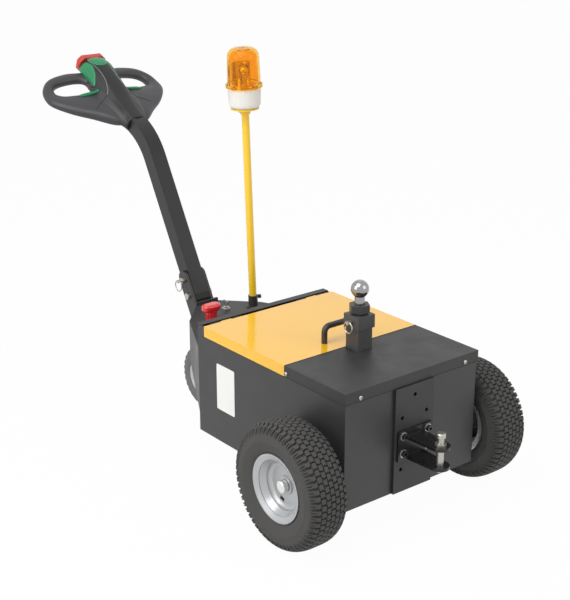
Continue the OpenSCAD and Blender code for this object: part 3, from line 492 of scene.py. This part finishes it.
def turf_tire(node, body):
    """Carcass with staggered chevron blocks and fine shoulder bars."""
    tire = Tire(node, node.replace("tire", "rim"))
    pitch = TAU / TREAD_COUNT
    shape = Shape()
    turf_carcass(shape, tire)
    turf_blocks(shape, tire, pitch)
    shoulder_bars(shape, tire, pitch)
    made = shape.piece(node + "_turf", looks["tire_black"], body)
    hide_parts(node)


turf_tire("left_tire", "left_wheel")
turf_tire("right_tire", "right_wheel")

# Caster tyre with lugs

CASTER_STEPS = 96
# Sidewall in millimetres: out from the bead, and in from the tyre's widest place
CASTER_WALL = [(0.2, 8), (8, 4), (16, 1.2)]
# Carcass between the lugs: its depth below them, its share of half width and the steps across it
LUG_DEPTH = 3 * MM
CASTER_SHARE = 0.94
CASTER_TOP_STEPS = 10
# Lugs: count to a side, half length in pitches, way out in shares of half width with their turn in pitches
CASTER_LUGS = 30
LUG_REACH = 0.27
LUG_PATH = [(0.06, 0.0), (0.4, 0.12), (0.7, 0.3), (0.93, 0.45)]
LUG_SECTION = [(-1, 1), (-0.85, 0), (0.85, 0), (1, 1)]
LUG_SINK_IN, LUG_SINK_ACROSS = 5 * MM, 0.5 * MM


def caster_crown(tire, x):
    """Radius of the lugs' top, so far from the tyre's middle."""
    return tire.radius - tire.half + math.sqrt(max(0.0, tire.half * tire.half - x * x))


def caster_tire():
    """Round-shouldered tyre with slanted lugs from its middle to both sides, staggered."""
    tire = Tire("caster_tire", "caster_rim")
    shape = Shape()
    side = [(tire.bead + out * MM, tire.half - inset * MM) for out, inset in CASTER_WALL]
    top = []
    for k in range(CASTER_TOP_STEPS + 1):
        x = tire.half * CASTER_SHARE * math.cos(math.pi * k / CASTER_TOP_STEPS)
        top.append((caster_crown(tire, x) - LUG_DEPTH, x))
    tire.carcass(shape, side, top, CASTER_STEPS)
    pitch = TAU / CASTER_LUGS
    for s in BOTH_SIDES:
        for k in range(CASTER_LUGS):
            a0 = (k + (0.5 if s > 0 else 0)) * pitch
            rings = []
            for share, turn in LUG_PATH:
                x = s * share * tire.half
                rings.append([tire.at(a0 + (turn + LUG_REACH * e) * pitch,
                                      caster_crown(tire, x) - LUG_SINK_IN * d, x - s * LUG_SINK_ACROSS * d)
                              for e, d in LUG_SECTION])
            shape.loft(rings)
    made = shape.piece("caster_tire_lugged", looks["caster_grey"], "caster_wheel")
    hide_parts("caster_tire")


caster_tire()

# Tiller head

ARM_ANGLE = math.radians(61)
ARM_L = 436 * MM
BEND_R = 200 * MM
HEAD_ANGLE = math.radians(23)
LOOP_HW = 206

# Hub sections in millimetres: place along the hub, half width, lowest and highest point
HUB_ROWS = [[0.2, 33, -28, 27], [50, 37, -31, 34], [100, 43, -32, 43], [158, 45, -30, 58], [208, 45, -24, 68],
            [258, 44, -10, 72], [280, 42, 2, 69], [290, 40, 8, 63]]
# Sections of the fillet between hub and wings, written the same way
SKIRT_ROWS = [[2, 36, -26, 20], [40, 54, -26, 30], [80, 64, -26, 36], [120, 66, -26, 40], [155, 60, -24, 40],
              [180, 50, -20, 36]]
# Wing stations round the hand hole: inner x and place, outer x and place, height and half height
WING_ROWS = [[56, 196, 14, 60, -2, 22], [92, 187, 44, 16, -2, 22], [124, 187, 106, 66, -3, 20],
             [150, 193, 158, 110, -5, 17], [163, 205, 200, 163, -7, 15], [166, 218, LOOP_HW, 204, -8, 15],
             [160, 238, 195, 246, -4, 15], [138, 250, 160, 280, 1, 15], [104, 252, 102, 292, 6, 15],
             [72, 247, 56, 284, 10, 15], [55, 233, 12, 272, 11, 15], [48, 214, 8, 180, 4, 17]]
# Throttle barrel: place along the hub, height, radius and reach from the middle
BARREL = (214, 14, 15, 51.5)
BARREL_POINTS = 24
# Steps along and around the forms, and the powers of their rounded sections
HUB_STEPS, HUB_POINTS = 24, 36
WING_STEPS, WING_POINTS = 96, 24
HUB_POWER, SKIRT_POWER, WING_POWER = 0.72, 1.0, 0.8
# Blending of the forms into one skin
BLEND_VOXEL = 2.4 * MM
BLEND_EASE = 8
BLEND_SHARP_DEG = 60
# Height over the head, in millimetres, from which its skin is looked for
LOOK_FROM = 200

raise_joint = next(j for j in frame["joints"] if j["name"] == "tiller_raise")
pivot = Vector(raise_joint["pos_m"])
bend_mid = (pivot.y + ARM_L * math.cos(ARM_ANGLE) + BEND_R * math.sin(ARM_ANGLE),
            pivot.z + ARM_L * math.sin(ARM_ANGLE) - BEND_R * math.cos(ARM_ANGLE))
head_y = bend_mid[0] - BEND_R * math.sin(HEAD_ANGLE)
head_z = bend_mid[1] + BEND_R * math.cos(HEAD_ANGLE)


def on_head(x, along, up):
    """Point of the head's own frame, given in millimetres."""
    c, s = math.cos(HEAD_ANGLE), math.sin(HEAD_ANGLE)
    return Vector((x * MM, head_y + (along * c - up * s) * MM, head_z + (along * s + up * c) * MM))


def hub_form(shape, rows, power):
    """Form of rounded sections along the hub."""
    rings = []
    for k in range(HUB_STEPS + 1):
        along, half, low, high = catmull(rows, (len(rows) - 1) * k / HUB_STEPS)
        ring = []
        for t in range(HUB_POINTS):
            x, up = squircle(half, (high - low) / 2, TAU * t / HUB_POINTS, power)
            ring.append(on_head(x, along, (low + high) / 2 + up))
        rings.append(ring)
    shape.loft(rings)


def wing_form(shape, mirror):
    """Wing of one side, round its hand hole."""
    rings = []
    for k in range(WING_STEPS):
        x_in, in_at, x_out, out_at, up, half_h = loop_row(WING_ROWS, len(WING_ROWS) * k / WING_STEPS)
        ring = []
        for t in range(WING_POINTS):
            out, rise = squircle(0.5, half_h, TAU * t / WING_POINTS, WING_POWER)
            ring.append(on_head(mirror * ((x_in + x_out) / 2 + (x_out - x_in) * out),
                                (in_at + out_at) / 2 + (out_at - in_at) * out, up + rise))
        rings.append(ring)
    shape.loft(rings, closed=True)


def barrel_form(shape):
    """Throttle barrel across the hub."""
    along, up, radius, reach = BARREL
    rings = []
    for x in (-reach, reach):
        rings.append([on_head(x, along - radius * c, up + radius * s) for c, s in circle(BARREL_POINTS)])
    shape.loft(rings)


def head_moulding():
    """Hub, wings and barrel, blended into one moulding. Gives its skin, for pieces that lie on it."""
    shape = Shape()
    hub_form(shape, HUB_ROWS, HUB_POWER)
    hub_form(shape, SKIRT_ROWS, SKIRT_POWER)
    for mirror in BOTH_SIDES:
        wing_form(shape, mirror)
    barrel_form(shape)
    made = shape.piece("tiller_head_moulding", looks["grip_black"], "tiller", BLEND_SHARP_DEG)
    remesh = made.modifiers.new("blend", "REMESH")
    remesh.mode = "VOXEL"
    remesh.voxel_size = BLEND_VOXEL
    remesh.use_smooth_shade = True
    ease = made.modifiers.new("ease", "SMOOTH")
    ease.iterations = BLEND_EASE
    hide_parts("tiller_head")
    return BVHTree.FromObject(made, bpy.context.evaluated_depsgraph_get())


head_skin = head_moulding()
# Upward direction of the head's own frame, one metre long
head_up = on_head(0, 0, 1000) - on_head(0, 0, 0)


def on_skin(x, along, lift):
    """Point above the moulding's upper face, lifted off it by so many millimetres."""
    hit = head_skin.ray_cast(on_head(x, along, LOOK_FROM), -head_up)[0]
    return hit + head_up * (lift * MM)


# Outline of a thumb panel on the hub's flank, in place along the hub and height, and the middle of its dome
LEAF = [(192, 25), (246, 25), (289, 26), (289, 40), (284, 52), (270, 62), (248, 66), (226, 62), (207, 53),
        (196, 41)]
LEAF_MIDDLE = (245, 42)
# Its dome, as shares of the outline and millimetres out from the flank
LEAF_DOME = [(0.97, -8), (1.0, 1), (0.97, 2.5), (0.8, 4), (0.5, 5), (0.12, 5.4)]
# The flank itself: x at its foot, the foot's height, and how far it leans in with each millimetre up
FLANK_X, FLANK_FOOT, FLANK_LEAN = 46.5, 24, 0.32
# Outline of the top panel, in x and place along the hub, its middle, and its dome as shares and lifts
PATCH = [(0, 232), (14, 236), (23, 248), (27, 266), (27, 283), (0, 284), (-27, 283), (-27, 266), (-23, 248),
         (-14, 236)]
PATCH_MIDDLE = (0, 262)
PATCH_DOME = [(1.0, -2), (1.0, 1.2), (0.95, 2.0), (0.5, 2.2), (0.1, 2.2)]
PANEL_POINTS = 40
# Red cap: outline in x and height, its middle, and its levels as shares and places along the hub
CAP = [(-44, 20), (44, 20), (48, 24), (48, 50), (45, 56), (34, 66), (-34, 66), (-45, 56), (-48, 50),
       (-48, 24)]
CAP_MIDDLE = (0, 42)
CAP_LEVELS = [(0.97, 290.2), (1.0, 292), (1.0, 307), (0.97, 310), (0.9, 311.5)]
# Raised edge beside the thumb panels, pale with a painted highlight, and seam across a wing's root, in x and
# place along the hub, with radii
EDGE_PATH = [(29, 272), (25, 240), (23, 208), (24, 172), (31, 142), (39, 124)]
EDGE_R = 1.5
SEAM_PATH = [(39, 124), (62, 112), (82, 98), (99, 84)]
SEAM_R = 0.9
LINE_STEPS = 40
BEAD_POINTS = 8
# Thumb lever: x, place along the hub and size of each station, and its section along the hub and up
LEVER_STATIONS = [(46, 170, 0.8), (52, 169, 1.0), (98, 167, 1.0), (110, 166, 0.6)]
LEVER_SECTION = [(-9, -3), (9, -3), (9, 2), (6, 4.5), (-6, 5.5), (-9, 3)]


def toward(points, middle, share):
    """Outline drawn in toward its middle."""
    return [tuple(m + (p - m) * share for p, m in zip(point, middle)) for point in points]


def rounded(points, count):
    """Closed smooth curve through an outline."""
    return [tuple(loop_row(points, len(points) * k / count)) for k in range(count)]


def head_panels():
    """Domed green leaf on each flank of the hub and a panel on its top."""
    shape = Shape()
    leaf = rounded(LEAF, PANEL_POINTS)
    for s in BOTH_SIDES:
        rings = []
        for share, out in LEAF_DOME:
            rings.append([on_head(s * (FLANK_X - FLANK_LEAN * (up - FLANK_FOOT) + out), along, up)
                          for along, up in toward(leaf, LEAF_MIDDLE, share)])
        shape.loft(rings)
    patch = rounded(PATCH, PANEL_POINTS)
    rings = []
    for share, lift in PATCH_DOME:
        rings.append([on_skin(x, along, lift) for x, along in toward(patch, PATCH_MIDDLE, share)])
    shape.loft(rings)
    made = shape.piece("head_panels_moulded", looks["control_green"], "tiller")
    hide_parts("head_panels")


def head_cap():
    """Red cap over the hub's end, with softened edges."""
    shape = Shape()
    rings = []
    for share, along in CAP_LEVELS:
        rings.append([on_head(x, along, up) for x, up in toward(CAP, CAP_MIDDLE, share)])
    shape.loft(rings)
    made = shape.piece("head_cap_moulded", cap_red, "tiller")
    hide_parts("head_cap")


def bead(shape, points, up, radius):
    """Thin round bead through points, with its radius in millimetres."""
    last = len(points) - 1
    rings = []
    for k, point in enumerate(points):
        ahead = (points[min(k + 1, last)] - points[max(0, k - 1)]).normalized()
        side = ahead.cross(up).normalized()
        rise = side.cross(ahead)
        rings.append([point + (side * c + rise * s) * (radius * MM) for c, s in circle(BEAD_POINTS)])
    shape.loft(rings)


def skin_line(shape, path, mirror, radius):
    """Bead that follows the moulding's upper face along a path in x and place along the hub."""
    points = []
    for k in range(LINE_STEPS + 1):
        x, along = catmull(path, (len(path) - 1) * k / LINE_STEPS)
        points.append(on_skin(mirror * x, along, 0))
    bead(shape, points, head_up, radius)


def head_lines():
    """Raised edges beside the thumb panels, pale with a painted highlight, and the seams across the wings'
    roots.
    """
    edges = Shape()
    seams = Shape()
    for s in BOTH_SIDES:
        skin_line(edges, EDGE_PATH, s, EDGE_R)
        skin_line(seams, SEAM_PATH, s, SEAM_R)
    edges.piece("head_edge_highlights", highlight_pale, "tiller")
    seams.piece("head_seams", shade_and_seam_black, "tiller")


def head_levers():
    """Flat thumb levers beside the hub, low over the wings by the hand holes."""
    shape = Shape()
    for s in BOTH_SIDES:
        rings = []
        for x, along, size in LEVER_STATIONS:
            rings.append([on_skin(s * x, along + size * a, size * b) for a, b in LEVER_SECTION])
        shape.loft(rings)
    made = shape.piece("head_levers_moulded", looks["control_green"], "tiller")
    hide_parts("head_levers")


head_panels()
head_cap()
head_lines()
head_levers()

# Plug in the arm's foot, black as painted shade of the hollow below it, in millimetres

# The arm's width, its depth and how far it reaches below the pivot
ARM_W, ARM_D, ARM_FOOT = 50, 46, 20
# The plug's gaps to the arm's foot, faces and flanks, and the steps of half its round end
PLUG_GAP_FOOT, PLUG_GAP_FACE, PLUG_GAP_FLANK = 0.3, 0.4, 0.6
PLUG_STEPS = 6
# The lip on the arm's front face: how far it is sunk and stands out, and the length of its slanted end
LIP_SINK, LIP_RISE, LIP_SLANT = 0.5, 0.4, 1


def arm_foot_shade():
    """Plug in the foot of the arm, rounded about the pivot, with a turned-up lip, black as painted shade of
    the hollow between the bracket's ears.
    """
    shape = Shape()
    along = Vector((0, math.cos(ARM_ANGLE), math.sin(ARM_ANGLE)))
    front = Vector((0, -math.sin(ARM_ANGLE), math.cos(ARM_ANGLE)))
    half = ARM_D / 2
    reach = math.hypot(ARM_FOOT, half) - PLUG_GAP_FOOT
    side = math.asin((half - PLUG_GAP_FACE) / reach)
    foot = []
    for k in range(-PLUG_STEPS, PLUG_STEPS + 1):
        angle = side * k / PLUG_STEPS
        foot.append((-reach * math.cos(angle), reach * math.sin(angle)))
    lip = [(-ARM_FOOT, half - LIP_SINK), (-ARM_FOOT, half + LIP_RISE), (-LIP_SLANT, half + LIP_RISE),
           (0, half - LIP_SINK)]
    edge = ARM_W / 2 - PLUG_GAP_FLANK
    for outline in (foot, lip):
        rings = []
        for x in (-edge, edge):
            rings.append([pivot + Vector((x * MM, 0, 0)) + along * (a * MM) + front * (b * MM)
                          for a, b in outline])
        shape.loft(rings)
    shape.piece("arm_foot_shade", shade_and_seam_black, "tiller")


arm_foot_shade()

# Small trim

lid_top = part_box("battery_lid")[1].z
face_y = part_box("deck_lid")[0].y
flank_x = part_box("tub")[0].x

# Screw: radius and height of each ring, in shares of the head's own
SCREW_PROFILE = [(1.0, -0.3), (1.0, 0.45), (0.86, 0.8), (0.55, 1.0), (0.5, 1.0), (0.46, 0.45)]
SCREW_POINTS = 18
# Lid screws: radius and height of the head, depth below the lid's top, and place on front and flanks
LID_SCREW_R, LID_SCREW_H = 6 * MM, 4 * MM
LID_SCREW_DOWN = 21 * MM
LID_SCREW_X = 180 * MM
LID_SCREW_Y = 226 * MM


def screw(shape, centre, axis, radius, height):
    """Pan-head screw with a small round recess, looking along an axis."""
    n = Vector(axis)
    side = n.orthogonal().normalized()
    other = n.cross(side)
    rings = []
    for r, h in SCREW_PROFILE:
        middle = Vector(centre) + n * (h * height)
        rings.append([middle + (side * c + other * s) * (r * radius) for c, s in circle(SCREW_POINTS)])
    shape.loft(rings)


def lid_screws():
    """Screws in the flanges of the black lid."""
    shape = Shape()
    flank = -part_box("deck_lid")[0].x
    z = lid_top - LID_SCREW_DOWN
    for s in BOTH_SIDES:
        screw(shape, (s * LID_SCREW_X, face_y, z), (0, -1, 0), LID_SCREW_R, LID_SCREW_H)
        screw(shape, (s * flank, face_y + LID_SCREW_Y, z), (s, 0, 0), LID_SCREW_R, LID_SCREW_H)
    shape.piece("lid_screws", looks["zinc"], "chassis")


lid_screws()

# Painted shadow lines: height of the black lid's flange, and the lines' offsets and radii, these in
# millimetres
DECK_FLANGE = 30 * MM
JOINT_BACK = 1 * MM
LID_SHADOW_DOWN = 2 * MM
FLANGE_SHADOW_R, JOINT_SHADOW_R, LID_SHADOW_R = 0.7, 0.9, 1.2


def deck_painted_shadows():
    """Dark beads of painted shadow under both lids' flanges and in the gap between the two lids."""
    shape = Shape()
    low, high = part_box("deck_lid")
    shadow_z = lid_top - DECK_FLANGE
    joint_y = high.y - JOINT_BACK
    under = [(low.x, high.y), (low.x, low.y), (high.x, low.y), (high.x, high.y)]
    bead(shape, [Vector((x, y, shadow_z)) for x, y in under], UPWARD, FLANGE_SHADOW_R)
    over = [(low.x, shadow_z), (low.x, lid_top), (high.x, lid_top), (high.x, shadow_z)]
    bead(shape, [Vector((x, joint_y, z)) for x, z in over], Vector((0, 1, 0)), JOINT_SHADOW_R)
    lid_low, lid_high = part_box("battery_lid")
    for x in (flank_x, -flank_x):
        ends = [Vector((x, y, lid_low.z - LID_SHADOW_DOWN)) for y in (high.y, lid_high.y)]
        bead(shape, ends, UPWARD, LID_SHADOW_R)
    shape.piece("deck_painted_shadows", shade_and_seam_black, "chassis")


deck_painted_shadows()

# Hub cap in millimetres: radius, and distance out from the axle's end
HUB_CAP = [(16.5, -11), (17, -2), (16, 2), (12, 4.5), (6, 5.6), (1, 6)]
HUB_CAP_POINTS = 32


def hub_caps():
    """Bright domed caps over the ends of the axle."""
    shape = Shape()
    low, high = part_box("drive_axle")
    middle = (low + high) / 2
    for s, end_x in ((-1, low.x), (1, high.x)):
        end = Vector((end_x, middle.y, middle.z))
        rings = []
        for r, out in HUB_CAP:
            rings.append([around(end, s * out * MM, r * MM, TAU * t / HUB_CAP_POINTS)
                          for t in range(HUB_CAP_POINTS)])
        shape.loft(rings)
    shape.piece("hub_caps", bright, "chassis")


hub_caps()

# Dark ring behind a rim's disc, painted shade seen through its slots, in millimetres: radius, and distance
# out from the rim's middle
SLOT_SHADE = [(35.5, 3.5), (60, 3.5), (60, 5.5), (35.5, 5.5)]
SLOT_SHADE_STEPS = 64


def rim_slot_shade(node, body):
    """Dark ring of painted shade behind a rim's pressed disc, seen through its slots."""
    shape = Shape()
    low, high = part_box(node)
    middle = (low + high) / 2
    s = math.copysign(1, middle.x)
    rings = []
    for k in range(SLOT_SHADE_STEPS):
        rings.append([around(middle, s * out * MM, r * MM, TAU * k / SLOT_SHADE_STEPS) for r, out in SLOT_SHADE])
    shape.loft(rings, closed=True)
    shape.piece(node + "_slot_shade", shade_and_seam_black, body)


rim_slot_shade("left_rim", "left_wheel")
rim_slot_shade("right_rim", "right_wheel")

# Beacon bolts: depth below the plate's highest point, place from its middle, and the heads' radius and height
BOLT_DOWN = 4 * MM
BOLT_PLACE = Vector((26, 8, 0)) * MM
BOLT_R, BOLT_H = 5.5 * MM, 7 * MM


def beacon_bolts():
    """Two bolt heads under the plate that carries the beacon."""
    shape = Shape()
    plate = sum(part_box("beacon_plate"), Vector()) / 2
    lens = sum(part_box("beacon_lens"), Vector()) / 2
    axis = (lens - plate).normalized()
    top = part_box("beacon_plate")[1].z - BOLT_DOWN
    centre = plate + axis * ((top - plate.z) / axis.z)
    for s in BOTH_SIDES:
        screw(shape, centre + BOLT_PLACE * s, -axis, BOLT_R, BOLT_H)
    shape.piece("beacon_bolts", looks["zinc"], "chassis")


beacon_bolts()

# Blank plate on the left flank in millimetres: from hitch face and floor, with its corners
PLATE_Y = (451, 531)
PLATE_Z = (192, 325)
PLATE_CORNER = 4
CORNER_STEPS = 4
# Distances out from the flank: the sunk back, the rim and the face
PLATE_OUT = (-0.2, 0.4, 0.5)


def blank_plate():
    """Thin plate with rounded corners, left bare."""
    shape = Shape()
    y_mid, z_mid = face_y + sum(PLATE_Y) / 2 * MM, sum(PLATE_Z) / 2 * MM
    half_y, half_z = (PLATE_Y[1] - PLATE_Y[0]) / 2 * MM, (PLATE_Z[1] - PLATE_Z[0]) / 2 * MM
    corner = PLATE_CORNER * MM
    outline = []
    for quarter, (sy, sz) in enumerate(((1, 1), (-1, 1), (-1, -1), (1, -1))):
        for k in range(CORNER_STEPS + 1):
            angle = TAU / 4 * (quarter + k / CORNER_STEPS)
            y = sy * (half_y - corner) + corner * math.cos(angle)
            z = sz * (half_z - corner) + corner * math.sin(angle)
            outline.append((y_mid + y, z_mid + z))
    shape.loft([[Vector((flank_x - out * MM, y, z)) for y, z in outline] for out in PLATE_OUT])
    shape.piece("flank_plate", plate_white, "chassis")


blank_plate()

# Camera, floor and light, in metres

CAMERA_FROM_FACE = (-2.1239, -2.1376, 1.6894)
CAMERA_AZIMUTH = math.radians(-38.67)
CAMERA_ELEVATION = math.radians(19.89)
# Focal length and sensor width, in millimetres
CAMERA_LENS = 78.42
CAMERA_SENSOR = 36
# Strength of the white world as light, and how far the floor looks white to the camera
WORLD_LIGHT = 0.45
FLOOR_WHITE = 0.97
FLOOR_HALF = 40.0
FLOOR_TONE = (0.86, 0.86, 0.86, 1)
FLOOR_ROUGH = 0.9
# Lamps: name, place, power and size, all facing one point
LAMPS = [("key", (-1.6, -0.6, 3.4), 60, 2.4), ("left", (-3.4, 0.2, 1.8), 36, 2.2),
         ("front", (1.4, -3.6, 2.2), 25, 2.2)]
LAMPS_FACE = Vector((0, 0, 0.4))


def camera():
    """Camera at the photo's place."""
    data = bpy.data.cameras.new("camera")
    data.lens = CAMERA_LENS
    data.sensor_width = CAMERA_SENSOR
    made = bpy.data.objects.new("camera", data)
    made.location = Vector(CAMERA_FROM_FACE) + Vector((0, face_y, 0))
    made.rotation_euler = (math.pi / 2 - CAMERA_ELEVATION, 0, CAMERA_AZIMUTH)
    bpy.context.scene.collection.objects.link(made)
    bpy.context.scene.camera = made


def seen_directly(tree):
    """Value that is 1 for rays from the camera, from gloss and through glass."""
    path = tree.nodes.new("ShaderNodeLightPath")
    total = path.outputs["Is Camera Ray"]
    for name in ("Is Glossy Ray", "Is Transmission Ray"):
        largest = tree.nodes.new("ShaderNodeMath")
        largest.operation = "MAXIMUM"
        tree.links.new(total, largest.inputs[0])
        tree.links.new(path.outputs[name], largest.inputs[1])
        total = largest.outputs[0]
    return total


def world():
    """World that is white where it is seen and dimmer as light."""
    made = bpy.data.worlds.new("studio")
    made.use_nodes = True
    tree = made.node_tree
    back = tree.nodes["Background"]
    strength = tree.nodes.new("ShaderNodeMapRange")
    strength.inputs["To Min"].default_value = WORLD_LIGHT
    strength.inputs["To Max"].default_value = 1.0
    tree.links.new(seen_directly(tree), strength.inputs["Value"])
    back.inputs["Color"].default_value = (1, 1, 1, 1)
    tree.links.new(strength.outputs["Result"], back.inputs["Strength"])
    bpy.context.scene.world = made


def floor():
    """Wide pale floor that looks almost white where it is seen."""
    data = bpy.data.meshes.new("floor")
    corners = [(-1, -1), (1, -1), (1, 1), (-1, 1)]
    data.from_pydata([(x * FLOOR_HALF, y * FLOOR_HALF, 0) for x, y in corners], [], [(0, 1, 2, 3)])
    made = bpy.data.objects.new("floor", data)
    bpy.context.scene.collection.objects.link(made)
    nodes = Nodes("pale floor")
    tree = nodes.tree
    nodes.shader.inputs["Base Color"].default_value = FLOOR_TONE
    nodes.shader.inputs["Roughness"].default_value = FLOOR_ROUGH
    white = nodes.new("Emission")
    mix = nodes.new("MixShader")
    nodes.link(nodes.ramp(seen_directly(tree), 0.0, FLOOR_WHITE), mix.inputs[0])
    nodes.link(nodes.shader.outputs[0], mix.inputs[1])
    nodes.link(white.outputs[0], mix.inputs[2])
    nodes.link(mix.outputs[0], tree.nodes["Material Output"].inputs["Surface"])
    data.materials.append(nodes.material)


def softbox(name, place, power, size):
    """Square lamp that faces the middle of the part."""
    data = bpy.data.lights.new(name, "AREA")
    data.energy = power
    data.size = size
    made = bpy.data.objects.new(name, data)
    made.location = place
    made.rotation_euler = (Vector(place) - LAMPS_FACE).to_track_quat("Z", "Y").to_euler()
    bpy.context.scene.collection.objects.link(made)


camera()
world()
floor()
for lamp in LAMPS:
    softbox(*lamp)
bpy.context.scene.view_settings.view_transform = "Standard"

bpy.context.view_layer.update()
